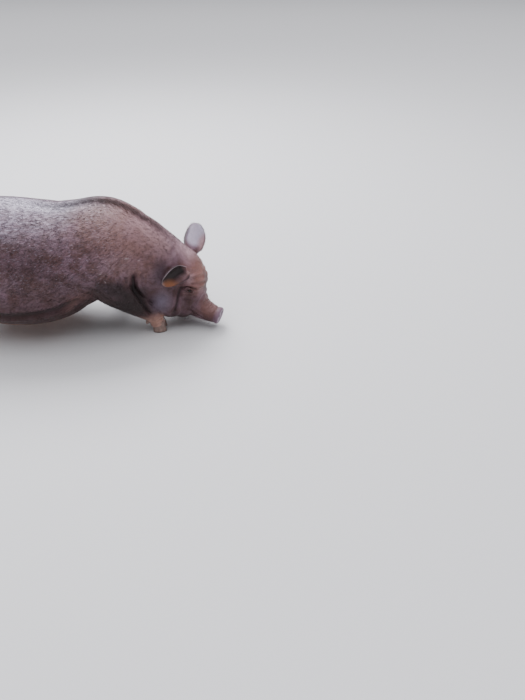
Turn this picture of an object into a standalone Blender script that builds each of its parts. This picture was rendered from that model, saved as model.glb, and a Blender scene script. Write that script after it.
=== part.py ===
"""A grown pot bellied sow, life size, standing with her nose to the ground.

+X points from tail to nose, +Y to her left, +Z up, and the floor is Z = 0. The origin is on the floor,
under the middle of her box. She is modelled as one body out of lofted limbs and rounded masses, which
are melted together and then parted into head, neck, torso and legs with thin cuts.
"""

import math
import random

import bmesh
import bpy
import numpy as np
from mathutils import Matrix, Vector
from mathutils.bvhtree import BVHTree

for old in list(bpy.data.objects):
    bpy.data.objects.remove(old, do_unlink=True)

GAP = 0.0003  # left between pieces that touch
TO_ORIGIN = Vector((0.0195, 0.0, 0.0))  # from the stations' own zero to the middle of her box
MELT = 0.005  # cell of the grid that melts the masses into one skin
LIMB_SIDES = 20
STEPS = 4  # rings between two named stations of a limb

# Stations along the trunk: place, X, height of the top line, height of the underline, half width
TRUNK = (
    ("tail root", -0.570, 0.430, 0.345, 0.030),
    ("buttock", -0.550, 0.472, 0.285, 0.095),
    ("thurl", -0.505, 0.512, 0.232, 0.145),
    ("rump", -0.430, 0.540, 0.180, 0.180),
    ("hips", -0.340, 0.547, 0.130, 0.206),
    ("loin", -0.240, 0.536, 0.092, 0.226),
    ("flank", -0.130, 0.519, 0.080, 0.238),
    ("saddle", -0.030, 0.512, 0.102, 0.236),
    ("heart girth", 0.060, 0.517, 0.150, 0.220),
    ("withers", 0.135, 0.521, 0.190, 0.198),
    ("shoulder", 0.205, 0.481, 0.210, 0.165),
    ("chest", 0.270, 0.412, 0.215, 0.125),
    ("breast", 0.305, 0.350, 0.240, 0.070),
)

# Neck, from inside the trunk to the skull: centre, half height across the neck, half width
NECK = (
    ((0.090, 0.000, 0.340), 0.160, 0.170),
    ((0.190, -0.003, 0.305), 0.170, 0.162),
    ((0.275, -0.014, 0.255), 0.159, 0.146),
    ((0.345, -0.030, 0.217), 0.142, 0.128),
    ((0.385, -0.040, 0.195), 0.124, 0.112),
)

# The head's own axes: x to the snout along the mouth, y left, z up, from the poll between the ears
POLL = Vector((0.436, -0.040, 0.306))
HEAD_PITCH = math.radians(22)
HEAD_YAW = math.radians(-24)
HEAD_ROLL = math.radians(-6)
HEAD = (
    Matrix.Translation(POLL)
    @ Matrix.Rotation(HEAD_YAW, 4, "Z")
    @ Matrix.Rotation(HEAD_PITCH, 4, "Y")
    @ Matrix.Rotation(HEAD_ROLL, 4, "X")
)
# Stations along the head: place, x, top, bottom, half width
SKULL = (
    ("nape", -0.070, -0.010, -0.205, 0.095),
    ("poll", -0.025, 0.014, -0.230, 0.108),
    ("forehead", 0.024, -0.018, -0.242, 0.098),
    ("brow", 0.058, -0.070, -0.246, 0.080),
    ("stop", 0.092, -0.110, -0.246, 0.066),
    ("nose root", 0.122, -0.139, -0.242, 0.054),
    ("muzzle", 0.152, -0.152, -0.236, 0.047),
    ("lips", 0.184, -0.156, -0.229, 0.042),
    ("snout", 0.205, -0.157, -0.223, 0.038),
)
# Rounded masses of the head: name, centre, radii, turn about y in degrees. Each lies on both sides
HEAD_MASSES = (
    ("jowl", (-0.008, 0.070, -0.184), (0.092, 0.058, 0.080), 15),
    ("cheek", (0.062, 0.046, -0.184), (0.056, 0.044, 0.066), 0),
    ("brow", (0.052, 0.040, -0.086), (0.034, 0.028, 0.024), 35),
    ("nape fat", (-0.045, 0.040, -0.045), (0.060, 0.055, 0.045), 0),
)
SNOUT_DISC = ((0.208, 0.0, -0.188), (0.010, 0.040, 0.034))

# Rounded masses of the body: name, centre, radii, turn about Y in degrees. Each lies on both sides
BODY_MASSES = (
    ("ham", (-0.430, 0.092, 0.330), (0.125, 0.085, 0.170), 12),
    ("shoulder blade", (0.118, 0.092, 0.330), (0.110, 0.100, 0.140), -18),
    ("belly", (-0.190, 0.075, 0.225), (0.270, 0.165, 0.150), 2),
    ("udder", (-0.225, 0.066, 0.128), (0.200, 0.090, 0.074), 2),
)

# Legs: joint, X, side (how far out from the middle), Z, half depth, half width
FORELEG_RIGHT = (
    ("shoulder", 0.095, 0.125, 0.340, 0.090, 0.062),
    ("elbow", 0.130, 0.148, 0.246, 0.074, 0.058),
    ("forearm", 0.200, 0.141, 0.164, 0.050, 0.045),
    ("wrist", 0.264, 0.124, 0.099, 0.036, 0.034),
    ("cannon", 0.282, 0.110, 0.066, 0.030, 0.030),
    ("foot", 0.293, 0.100, 0.030, 0.032, 0.034),
)
FORELEG_LEFT = (
    ("shoulder", 0.100, 0.125, 0.340, 0.085, 0.060),
    ("elbow", 0.105, 0.142, 0.238, 0.068, 0.056),
    ("forearm", 0.128, 0.140, 0.165, 0.046, 0.043),
    ("wrist", 0.142, 0.134, 0.102, 0.033, 0.032),
    ("cannon", 0.141, 0.130, 0.065, 0.028, 0.028),
    ("foot", 0.150, 0.128, 0.030, 0.031, 0.033),
)
HINDLEG_RIGHT = (
    ("stifle", -0.370, 0.115, 0.300, 0.110, 0.070),
    ("thigh", -0.405, 0.130, 0.225, 0.078, 0.056),
    ("gaskin", -0.448, 0.134, 0.165, 0.047, 0.040),
    ("hock", -0.470, 0.130, 0.120, 0.035, 0.031),
    ("cannon", -0.458, 0.127, 0.070, 0.027, 0.027),
    ("foot", -0.444, 0.126, 0.030, 0.031, 0.032),
)
HINDLEG_LEFT = (
    ("stifle", -0.350, 0.115, 0.300, 0.110, 0.070),
    ("thigh", -0.365, 0.130, 0.225, 0.078, 0.056),
    ("gaskin", -0.388, 0.134, 0.165, 0.047, 0.040),
    ("hock", -0.402, 0.130, 0.120, 0.035, 0.031),
    ("cannon", -0.388, 0.127, 0.070, 0.027, 0.027),
    ("foot", -0.372, 0.126, 0.030, 0.031, 0.032),
)
LEGS = (
    ("foreleg_right", FORELEG_RIGHT, -1),
    ("foreleg_left", FORELEG_LEFT, 1),
    ("hindleg_right", HINDLEG_RIGHT, -1),
    ("hindleg_left", HINDLEG_LEFT, 1),
)
# Seam between foot and claws: its height under the foot's middle and how steeply it rises to the toes
CORONET_HEIGHT = 0.0330
CORONET_RISE = 0.42
# Claws: how far each stands from the foot's middle, its reach to toe and heel, and half width
CLAW_SIDE = 0.0168
CLAW_TOE = 0.034
CLAW_HEEL = 0.023
CLAW_HALF_WIDTH = 0.0158
CLAW_SPREAD = math.radians(5)
CLAW_SLOPE = 0.26  # how far the toe leans back from sole to seam, as a share of its reach
CLAW_POINT = 0.42  # how much narrower the claw is at its toe
# Rings of a claw from the sole up: height as a share of the seam's, width of the ring
CLAW_RINGS = ((0.0, 0.90), (0.10, 0.99), (0.5, 1.0), (1.0, 0.90))
# Dewclaws, behind each leg, from root to tip: how far back and out from the bone, height and radius
DEWCLAW = (
    (-0.018, 0.015, 0.066, 0.0090),
    (-0.030, 0.018, 0.054, 0.0088),
    (-0.038, 0.020, 0.046, 0.0068),
    (-0.0415, 0.021, 0.0425, 0.0034),
)

# Where each leg parts from the trunk: share of the way from its second joint to its fourth, and the
# reach of the cut ahead, behind and to either side
LEG_CUTS = {
    "foreleg_right": (0.05, 0.048, 0.090, 0.078),
    "foreleg_left": (0.10, 0.075, 0.085, 0.078),
    "hindleg_right": (0.35, 0.075, 0.085, 0.072),
    "hindleg_left": (0.35, 0.075, 0.085, 0.072),
}
# Cuts across the neck: a place on each, and how its face leans
NECK_CUT = ((0.228, 0.0, 0.330), math.radians(-4))
NECK_SWING = -0.16  # how far the middle of the neck moves aside over each metre ahead of its cut
HEAD_CUT = ((-0.066, 0.0, -0.100), math.radians(14))

# Ears: root on the skull, tip and the side that the cup opens to, all in the head's axes
EAR_HALF_WIDTH = 0.043
EAR_WALL = 0.0042
EAR_SUNK = 0.016
EAR_CURL = 0.35  # how far the tip bends back, as a share of the half width
# From root to tip in even steps: width as a share of the widest, and half the angle of the cup
FOLDED_EAR = ((0.62, 2.10), (0.92, 1.70), (1.04, 1.35), (0.98, 1.10), (0.78, 0.95), (0.28, 0.85))
UPRIGHT_EAR = ((0.78, 1.75), (1.06, 1.35), (1.16, 1.12), (1.10, 0.97), (0.86, 0.85), (0.30, 0.80))
# Name, root, tip, side that the cup opens to, how far its middle bows out of line, outline
EARS = (
    (
        "ear_right",
        (0.026, -0.084, -0.030),
        (-0.008, -0.150, -0.088),
        (0.62, -0.55, 0.30),
        (0.0, 0.006, 0.022),
        FOLDED_EAR,
    ),
    (
        "ear_left",
        (-0.012, 0.078, -0.018),
        (-0.043, 0.146, 0.058),
        (0.10, 0.75, -0.60),
        (0.0, 0.0, 0.0),
        UPRIGHT_EAR,
    ),
)

# Eye: where it lies in the head's axes, the ball, and the mound of the lids with its slit
EYE_PLACE = (0.076, 0.083, -0.099)
EYE_RADIUS = 0.0110
EYE_DEPTH = 0.0040
LIDS = (0.0200, 0.0135, 0.0085)
SLIT = (0.0125, 0.0034)

NOSTRIL = (0.0145, -0.181)
NOSTRIL_SIZE = (0.0110, 0.0062, 0.0082)
MOUTH = (
    (0.082, 0.062, -0.178),
    (0.100, 0.056, -0.188),
    (0.125, 0.048, -0.197),
    (0.155, 0.046, -0.205),
    (0.178, 0.041, -0.211),
    (0.190, 0.024, -0.220),
    (0.192, 0.000, -0.224),
)
MOUTH_RADIUS = 0.0032

TAIL = (
    ("root", -0.545, 0.000, 0.415, 0.021, 0.021),
    ("dock", -0.580, 0.004, 0.380, 0.015, 0.015),
    ("middle", -0.588, 0.010, 0.325, 0.0105, 0.0105),
    ("lower", -0.583, 0.012, 0.270, 0.0080, 0.0080),
    ("tip", -0.580, 0.008, 0.225, 0.0055, 0.0055),
)

# Teats, in a row along each side of the udder
TEATS_AT = (-0.275, -0.222, -0.168, -0.114, -0.060, -0.004)
TEAT_SIDE = 0.062
TEAT_RADIUS = 0.0065
TEAT_LENGTH = 0.013

# Bristles of the crest, in flat locks that lie back over one another: where the rows run, how far
# apart the locks stand, and the lock from root to tip: how far back, how far off the skin, half its
# width and half its thickness
CREST_FROM, CREST_TO, CREST_STEP = -0.010, 0.372, 0.0220
CREST_ROWS = (-0.020, 0.0, 0.020)
CREST_LOCK = (
    (-0.008, -0.0090, 0.0080, 0.0032),
    (0.007, 0.0030, 0.0085, 0.0030),
    (0.020, 0.0078, 0.0060, 0.0022),
    (0.034, 0.0090, 0.0016, 0.0009),
)
# Locks of the tail's switch: how many, how long, and half their width and thickness at the root
SWITCH_LOCKS, SWITCH_LENGTH, SWITCH_WIDTH, SWITCH_THICKNESS = 7, 0.085, 0.0060, 0.0034
# The same lock from root to tip: how far aside, how far down, width and thickness as shares
SWITCH_LOCK = (
    (0.0, 0.0, 1.0, 1.0),
    (0.0075, 0.35, 1.0, 1.0),
    (0.0105, 0.7, 0.7, 0.7),
    (0.0070, 1.0, 0.2, 0.3),
)

WORLD = Matrix.Identity(4)


def mirrored(path):
    return tuple((x, -y, z) for x, y, z in path)


# Folds: name, axes that its places are in, depth, half width, places near the skin
JOWL_FOLD = (
    (0.234, -0.165, 0.320),
    (0.227, -0.158, 0.265),
    (0.228, -0.150, 0.210),
    (0.254, -0.155, 0.152),
    (0.284, -0.160, 0.108),
)
FAR_JOWL_FOLD = ((0.245, 0.130, 0.330), (0.250, 0.130, 0.230), (0.265, 0.110, 0.160))
FLANK_FOLD = ((-0.335, -0.200, 0.300), (-0.345, -0.190, 0.220), (-0.370, -0.170, 0.170))
FAR_FLANK_FOLD = ((-0.315, 0.200, 0.300), (-0.325, 0.190, 0.220), (-0.345, 0.170, 0.170))
UDDER_FOLD = (
    (-0.340, -0.215, 0.182),
    (-0.200, -0.230, 0.182),
    (-0.060, -0.210, 0.190),
    (0.017, -0.194, 0.221),
    (0.070, -0.196, 0.255),
)
FAR_UDDER_FOLD = (
    (-0.340, 0.215, 0.180),
    (-0.200, 0.230, 0.180),
    (-0.060, 0.215, 0.185),
    (0.030, 0.190, 0.200),
)
HAM_FOLD = ((-0.560, 0.0, 0.400), (-0.540, 0.0, 0.280), (-0.480, 0.0, 0.200))
CHEEK_FOLD = (
    (0.040, 0.092, -0.104),
    (0.045, 0.095, -0.138),
    (0.054, 0.106, -0.180),
    (0.052, 0.096, -0.235),
)
EYE_FOLD = ((0.043, 0.092, -0.101), (0.060, 0.088, -0.083), (0.080, 0.076, -0.080), (0.102, 0.048, -0.091))
FROWN_FOLD = ((0.055, 0.074, -0.050), (0.080, 0.050, -0.046), (0.094, 0.022, -0.040))
BROW_FOLD = ((0.066, 0.078, -0.066), (0.096, 0.044, -0.066), (0.108, 0.012, -0.062))
SNOUT_FOLD = ((0.120, 0.050, -0.170), (0.128, 0.036, -0.128), (0.132, 0.0, -0.118))
FOLDS = (
    ("right shoulder from jowl", WORLD, 0.014, 0.013, JOWL_FOLD),
    ("left shoulder from jowl", WORLD, 0.011, 0.014, FAR_JOWL_FOLD),
    ("right flank", WORLD, 0.007, 0.026, FLANK_FOLD),
    ("left flank", WORLD, 0.007, 0.026, FAR_FLANK_FOLD),
    ("right udder", WORLD, 0.009, 0.016, UDDER_FOLD),
    ("left udder", WORLD, 0.008, 0.016, FAR_UDDER_FOLD),
    ("between the hams", WORLD, 0.016, 0.020, HAM_FOLD),
    ("right cheek", HEAD, 0.0065, 0.0075, mirrored(CHEEK_FOLD)),
    ("left cheek", HEAD, 0.0060, 0.0075, CHEEK_FOLD),
    ("right eye", HEAD, 0.0060, 0.0070, mirrored(EYE_FOLD)),
    ("left eye", HEAD, 0.0060, 0.0070, EYE_FOLD),
    ("right frown", HEAD, 0.0040, 0.0075, mirrored(FROWN_FOLD)),
    ("left frown", HEAD, 0.0040, 0.0075, FROWN_FOLD),
    ("right brow", HEAD, 0.0040, 0.0070, mirrored(BROW_FOLD)),
    ("left brow", HEAD, 0.0040, 0.0070, BROW_FOLD),
    ("right snout", HEAD, 0.0032, 0.0065, mirrored(SNOUT_FOLD)),
    ("left snout", HEAD, 0.0032, 0.0065, SNOUT_FOLD),
)
# The roll of fat beside each fold: its height as a share of the depth, its place and its spread
ROLL_HEIGHT, ROLL_PLACE, ROLL_SPREAD = 0.45, 2.0, 0.8

KEPT_SHARE = 0.0325  # of the melted skin's faces
FINE_FACTOR = 0.0032  # how much finer the head and lower legs are kept than the trunk
LOWER_LEG, LOWER_LEG_SIDE = 0.20, 0.095  # where a lower leg starts: its height, and out from the middle


def material(name, colour, roughness):
    made = bpy.data.materials.new(name)
    made.use_nodes = True
    shader = made.node_tree.nodes["Principled BSDF"]
    shader.inputs["Base Color"].default_value = (*colour, 1.0)
    shader.inputs["Roughness"].default_value = roughness
    return made


SKIN = material("skin", (0.105, 0.080, 0.078), 0.55)
HORN = material("claw horn", (0.45, 0.30, 0.22), 0.45)
EYE = material("eye", (0.012, 0.008, 0.006), 0.08)


def node(name, bm, finish):
    """A named object of the scene from a bmesh, which is freed."""
    mesh = bpy.data.meshes.new(name)
    bmesh.ops.triangulate(bm, faces=bm.faces)
    bm.to_mesh(mesh)
    bm.free()
    made = bpy.data.objects.new(name, mesh)
    bpy.context.scene.collection.objects.link(made)
    mesh.materials.append(finish)
    return made


def between(stations, share):
    """The stations' numbers at share, from 0 at the first to 1 at the last, on a smooth curve."""
    place = share * (len(stations) - 1)
    i = min(int(place), len(stations) - 2)
    t = place - i
    a, b, c, d = (
        np.array(stations[min(max(i + k, 0), len(stations) - 1)], float) for k in (-1, 0, 1, 2)
    )
    return b + 0.5 * t * (c - a + t * (2 * a - 5 * b + 4 * c - d + t * (3 * (b - c) + d - a)))


def limb(bm, stations, steps=STEPS, sides=LIMB_SIDES):
    """A closed tapered tube through stations of (x, y, z, half depth, half width), rounded at its ends."""
    count = (len(stations) - 1) * steps
    rows = [between(stations, i / count) for i in range(count + 1)]
    loops = []
    for i, row in enumerate(rows):
        along = Vector(rows[min(i + 1, count)][:3] - rows[max(i - 1, 0)][:3]).normalized()
        across = (Vector((0, 1, 0)) - along * along.y).normalized()
        deep = across.cross(along)
        turn = Matrix((deep * row[3], across * row[4], along)).transposed().to_4x4()
        made = bmesh.ops.create_circle(
            bm, segments=sides, radius=1.0, matrix=Matrix.Translation(row[:3]) @ turn
        )
        loops.append(list({e for v in made["verts"] for e in v.link_edges}))
    for first, second in zip(loops, loops[1:]):
        bmesh.ops.bridge_loops(bm, edges=first + second)
    for end in (loops[0], loops[-1]):
        bmesh.ops.contextual_create(bm, geom=end)
    bmesh.ops.recalc_face_normals(bm, faces=bm.faces)


def slices(stations):
    """Stations given by X, top, bottom and half width, as limb() takes them."""
    return [(x, 0.0, (top + low) / 2, (top - low) / 2, half) for _, x, top, low, half in stations]


def mass(bm, centre, radii, degrees=0.0, frame=WORLD, fineness=4):
    """A rounded mass: a ball stretched to its radii and turned about its own Y axis."""
    turn = Matrix.Rotation(math.radians(degrees), 4, "Y")
    place = frame @ Matrix.Translation(centre) @ turn @ Matrix.Diagonal((*radii, 1.0))
    bmesh.ops.create_icosphere(bm, subdivisions=fineness, radius=1.0, matrix=place)


def both_sides(centre):
    x, y, z = centre
    return ((x, y, z), (x, -y, z))


def masses_of_the_pig():
    """Every limb and mass of flesh, in one bmesh, each its own closed shell."""
    bm = bmesh.new()
    limb(bm, slices(TRUNK), sides=32)
    limb(bm, [(*centre, height, width) for centre, height, width in NECK], sides=28)
    for _, centre, radii, degrees in BODY_MASSES:
        for place in both_sides(centre):
            mass(bm, place, radii, degrees)
    for _, joints, side in LEGS:
        limb(bm, [(x, y * side, z, deep, wide) for _, x, y, z, deep, wide in joints])
    head = bmesh.new()
    limb(head, slices(SKULL), sides=28)
    for _, centre, radii, degrees in HEAD_MASSES:
        for place in both_sides(centre):
            mass(head, place, radii, degrees)
    mass(head, *SNOUT_DISC)
    bmesh.ops.transform(head, matrix=HEAD, verts=head.verts)
    joined = bpy.data.meshes.new("head masses")
    head.to_mesh(joined)
    head.free()
    bm.from_mesh(joined)
    return bm


def with_modifiers(obj, *settings):
    """Applies modifiers, given as (type, {attribute: value}), and returns the object with its new mesh."""
    for kind, values in settings:
        modifier = obj.modifiers.new(kind.title(), kind)
        for name, value in values.items():
            setattr(modifier, name, value)
    graph = bpy.context.evaluated_depsgraph_get()
    made = bpy.data.meshes.new_from_object(obj.evaluated_get(graph), depsgraph=graph)
    obj.modifiers.clear()
    old = obj.data
    obj.data = made
    bpy.data.meshes.remove(old)
    return obj


def melted_pig():
    """All masses as one outer skin."""
    whole = node("whole", masses_of_the_pig(), SKIN)
    with_modifiers(whole, ("REMESH", {"mode": "VOXEL", "voxel_size": MELT}))
    largest_shell(whole)
    return with_modifiers(whole, ("SMOOTH", {"factor": 0.5, "iterations": 14}))


def skin_near(tree, place):
    """The point of the skin nearest to a place."""
    return tree.find_nearest(place)[0]


def distance_to(points, path):
    """How far each row of points lies from a path of straight stretches."""
    least = np.full(len(points), 1e9)
    for start, end in zip(path, path[1:]):
        start, along = np.array(start), np.array(end) - np.array(start)
        share = np.clip((points - start) @ along / (along @ along), 0.0, 1.0)
        least = np.minimum(least, np.linalg.norm(points - start - share[:, None] * along, axis=1))
    return least


def creased(obj):
    """Presses every fold of FOLDS into the skin, with a low roll along each side of it."""
    mesh = obj.data
    points = np.empty(len(mesh.vertices) * 3)
    mesh.vertices.foreach_get("co", points)
    points = points.reshape(-1, 3)
    normals = np.empty(len(mesh.vertices) * 3)
    mesh.vertices.foreach_get("normal", normals)
    normals = normals.reshape(-1, 3)
    tree = BVHTree.FromObject(obj, bpy.context.evaluated_depsgraph_get())
    shift = np.zeros(len(points))
    for _, frame, depth, width, path in FOLDS:
        laid = [skin_near(tree, frame @ Vector(place)) for place in path]
        away = distance_to(points, laid) / width
        roll = ROLL_HEIGHT * np.exp(-(((away - ROLL_PLACE) / ROLL_SPREAD) ** 2))
        shift += depth * (roll - np.exp(-(away**2)))
    mesh.vertices.foreach_set("co", (points + normals * shift[:, None]).ravel())
    mesh.update()
    return obj


def thinned(obj):
    """Fewer, larger faces, with the head and the lower legs kept finer than the trunk."""
    fine = obj.vertex_groups.new(name="fine")
    to_head = HEAD.inverted()
    for vertex in obj.data.vertices:
        share = min(max(1.0 + (to_head @ vertex.co).x / 0.10, 0.0), 1.0)
        if abs(vertex.co.y) > LOWER_LEG_SIDE:
            share = max(share, min((LOWER_LEG - vertex.co.z) / 0.08, 0.6))
        fine.add([vertex.index], 1.0 - 0.9 * share, "REPLACE")
    with_modifiers(
        obj,
        (
            "DECIMATE",
            {"ratio": KEPT_SHARE, "vertex_group": "fine", "vertex_group_factor": FINE_FACTOR},
        ),
    )
    obj.vertex_groups.clear()
    return obj


def cut(obj, tool, operation="DIFFERENCE", solver="EXACT"):
    """A Boolean of obj with tool, which is then removed."""
    with_modifiers(obj, ("BOOLEAN", {"operation": operation, "object": tool, "solver": solver}))
    bpy.data.objects.remove(tool, do_unlink=True)
    return obj


def largest_shell(obj):
    """Keeps the piece of obj with the most faces and joins points that lie on one another."""
    bm = bmesh.new()
    bm.from_mesh(obj.data)
    bmesh.ops.remove_doubles(bm, verts=bm.verts, dist=0.00002)
    bmesh.ops.dissolve_degenerate(bm, edges=bm.edges, dist=0.00002)
    bmesh.ops.triangulate(bm, faces=bm.faces)
    seen, shells = set(), []
    for first in bm.faces:
        if first in seen:
            continue
        shell, front = {first}, [first]
        while front:
            for edge in front.pop().edges:
                for face in edge.link_faces:
                    if face not in shell:
                        shell.add(face)
                        front.append(face)
        seen |= shell
        shells.append(shell)
    largest = max(shells, key=len)
    bmesh.ops.delete(bm, geom=[f for f in bm.faces if f not in largest], context="FACES")
    bm.to_mesh(obj.data)
    bm.free()
    return obj


def copy_of(obj, name, swelling=0.0):
    """A copy of obj, its skin moved out by swelling."""
    made = bpy.data.objects.new(name, obj.data.copy())
    bpy.context.scene.collection.objects.link(made)
    if swelling:
        normals = [n.vector.copy() for n in made.data.vertex_normals]
        for vertex, normal in zip(made.data.vertices, normals):
            vertex.co += normal * swelling
    return made


def block(name, centre, axes, low, high):
    """A box given by its centre, its three axes and how far it reaches below and above along each."""
    bm = bmesh.new()
    sizes = [h - l for l, h in zip(low, high)]
    middle = Vector([(h + l) / 2 for l, h in zip(low, high)])
    turn = Matrix(axes).transposed().to_4x4()
    place = Matrix.Translation(centre) @ turn @ Matrix.Translation(middle)
    bmesh.ops.create_cube(bm, size=1.0, matrix=place @ Matrix.Diagonal((*sizes, 1.0)))
    return node(name, bm, SKIN)


def parted(body, name, centre, axes, low, high):
    """Takes the part of body inside a box as a new node, leaving a thin cut between the two."""
    inside = copy_of(body, name)
    cut(inside, block("box", centre, axes, low, high), "INTERSECT", "MANIFOLD")
    wider = [l - GAP for l in low], [h + GAP for h in high]
    cut(body, block("box", centre, axes, *wider), "DIFFERENCE", "MANIFOLD")
    largest_shell(body)
    return largest_shell(inside)


def leaning_block(centre, frame, lean, low, high):
    """What block() takes for a box in the axes of frame, turned by lean about its own y."""
    turn = frame.to_3x3() @ Matrix.Rotation(lean, 3, "Y")
    return centre, [turn.col[i].copy() for i in range(3)], low, high


def leg_axes(joints, side, share):
    """The place of a leg's cut, and its axes: ahead, outwards and up along the leg."""
    second, fourth = (Vector((x, y * side, z)) for _, x, y, z, _, _ in (joints[1], joints[3]))
    up = (second - fourth).normalized()
    out = (Vector((0, 1, 0)) - up * up.y).normalized()
    return second.lerp(fourth, share), (out.cross(up), out, up)


def coronet(x, foot_x):
    """Height of the seam between claws and foot."""
    return CORONET_HEIGHT + CORONET_RISE * (x - foot_x)


def claw(name, foot_x, foot_y, side):
    """One claw: a flat sole, a sloping toe, and a top that meets the foot along the seam."""
    bm = bmesh.new()
    loops = []
    turn = Matrix.Rotation(CLAW_SPREAD * side, 3, "Z")
    for share, width in CLAW_RINGS:
        made = bmesh.ops.create_circle(bm, segments=16, radius=1.0)["verts"]
        for vertex in made:
            x, y = vertex.co.x, vertex.co.y
            reach = CLAW_TOE * (1.0 - CLAW_SLOPE * share) if x > 0 else CLAW_HEEL
            narrow = 1.0 - CLAW_POINT * max(x, 0.0) ** 2
            place = turn @ Vector((x * reach * width, y * CLAW_HALF_WIDTH * width * narrow, 0.0))
            place += Vector((foot_x, foot_y + side * CLAW_SIDE, 0.0))
            top = coronet(place.x, foot_x) - GAP
            vertex.co = (place.x, place.y, top * share)
        loops.append(list({e for v in made for e in v.link_edges}))
    for first, second in zip(loops, loops[1:]):
        bmesh.ops.bridge_loops(bm, edges=first + second)
    for end in (loops[0], loops[-1]):
        bmesh.ops.contextual_create(bm, geom=end)
    bmesh.ops.recalc_face_normals(bm, faces=bm.faces)
    return node(name, bm, HORN)


def dewclaw(name, joints, foot_y, side, leg):
    """A small blunt claw behind the foot, cut where it meets the leg."""
    (_, upper_x, _, upper_z, _, _), (_, lower_x, _, lower_z, _, _) = joints[-2:]
    rows = []
    for dx, dy, z, radius in DEWCLAW:
        bone_x = lower_x + (upper_x - lower_x) * (z - lower_z) / (upper_z - lower_z)
        rows.append((bone_x + dx, foot_y + side * dy, z, radius, radius))
    bm = bmesh.new()
    limb(bm, rows, steps=1, sides=8)
    made = node(name, bm, HORN)
    cut(made, copy_of(leg, "swollen leg", GAP))
    return largest_shell(made)


def foot_with_claws(leg, joints, side):
    """Cuts the leg off along the seam and sets its two claws and two dewclaws."""
    _, foot_x, y, _, _, _ = joints[-1]
    foot_y = y * side
    centre = Vector((foot_x, foot_y, CORONET_HEIGHT))
    below = (-0.1, -0.1, -0.1), (0.1, 0.1, 0.0)
    cut(leg, block("seam", *leaning_block(centre, WORLD, -math.atan(CORONET_RISE), *below)))
    largest_shell(leg)
    for word, way in (("outer", side), ("inner", -side)):
        claw(leg.name.replace("leg", "claw") + "_" + word, foot_x, foot_y, way)
        dewclaw(leg.name.replace("leg", "dewclaw") + "_" + word, joints, foot_y, way, leg)


def surface_axes(obj, place):
    """A place on the skin nearest to one in the head's axes, with axes: forward, up, and out of the skin."""
    tree = BVHTree.FromObject(obj, bpy.context.evaluated_depsgraph_get())
    at = skin_near(tree, HEAD @ Vector(place))
    normals = [normal for _, normal, _, _ in tree.find_nearest_range(at, 0.012)]
    out = sum(normals, Vector()).normalized()
    ahead = HEAD.to_3x3() @ Vector((1, 0, -0.12))
    ahead = (ahead - out * ahead.dot(out)).normalized()
    return Matrix((ahead, out.cross(ahead), out)).transposed().to_4x4(), at


def ball(name, centre, radii, turn, fineness, finish):
    bm = bmesh.new()
    place = Matrix.Translation(centre) @ turn @ Matrix.Diagonal((*radii, 1.0))
    bmesh.ops.create_icosphere(bm, subdivisions=fineness, radius=1.0, matrix=place)
    return node(name, bm, finish)


def eye(head, name, side):
    """Lids raised on the skin, a slit between them, and the eyeball in its socket behind."""
    x, y, z = EYE_PLACE
    turn, at = surface_axes(head, (x, y * side, z))
    out = turn.to_3x3().col[2]
    length, height, swell = LIDS
    cut(head, ball("lids", at, (length, height, swell), turn, 3, SKIN), "UNION")
    cut(head, ball("slit", at + out * swell * 0.75, (SLIT[0], SLIT[1], swell), turn, 2, SKIN))
    centre = at - out * EYE_DEPTH
    cut(head, ball("socket", centre, (EYE_RADIUS + GAP,) * 3, turn, 3, SKIN))
    ball(name, centre, (EYE_RADIUS,) * 3, turn, 3, EYE)


def mouth(head):
    """The line of the mouth, from one cheek round under the snout to the other."""
    tree = BVHTree.FromObject(head, bpy.context.evaluated_depsgraph_get())
    path = MOUTH + mirrored(MOUTH)[-2::-1]
    rows = []
    count = 2 * (len(path) - 1)
    for i in range(count + 1):
        place = skin_near(tree, HEAD @ Vector(between(path, i / count)))
        end = min(i, count - i) / 3
        radius = MOUTH_RADIUS * min(1.0, 0.45 + end)
        rows.append((*place, radius, radius))
    bm = bmesh.new()
    tube(bm, rows, 6)
    cut(head, node("mouth", bm, SKIN))


def tube(bm, rows, sides):
    """A closed tube of round rings through rows of (x, y, z, half depth, half width), free to turn."""
    loops = []
    last = len(rows) - 1
    for i, row in enumerate(rows):
        ahead, behind = Vector(rows[min(i + 1, last)][:3]), Vector(rows[max(i - 1, 0)][:3])
        along = (ahead - behind).normalized()
        across = HEAD.to_3x3().col[2].cross(along).normalized()
        turn = Matrix((across.cross(along) * row[3], across * row[4], along)).transposed()
        place = Matrix.Translation(row[:3]) @ turn.to_4x4()
        made = bmesh.ops.create_circle(bm, segments=sides, radius=1.0, matrix=place)
        loops.append(list({e for v in made["verts"] for e in v.link_edges}))
    for first, second in zip(loops, loops[1:]):
        bmesh.ops.bridge_loops(bm, edges=first + second)
    for end in (loops[0], loops[-1]):
        bmesh.ops.contextual_create(bm, geom=end)
    bmesh.ops.recalc_face_normals(bm, faces=bm.faces)


def snout(head):
    """The flat disc of the snout with its rim, and the two nostrils."""
    centre, radii = SNOUT_DISC
    bm = bmesh.new()
    mass(bm, centre, radii, degrees=-8, frame=HEAD, fineness=3)
    cut(head, node("disc", bm, SKIN), "UNION")
    tree = BVHTree.FromObject(head, bpy.context.evaluated_depsgraph_get())
    side, height = NOSTRIL
    back = HEAD.to_3x3() @ Vector((-1, 0, 0))
    for y in (side, -side):
        at = tree.ray_cast(HEAD @ Vector((0.4, y, height)), back)[0]
        cut(head, ball("nostril", at, NOSTRIL_SIZE, HEAD.to_3x3().to_4x4(), 2, SKIN))


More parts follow.
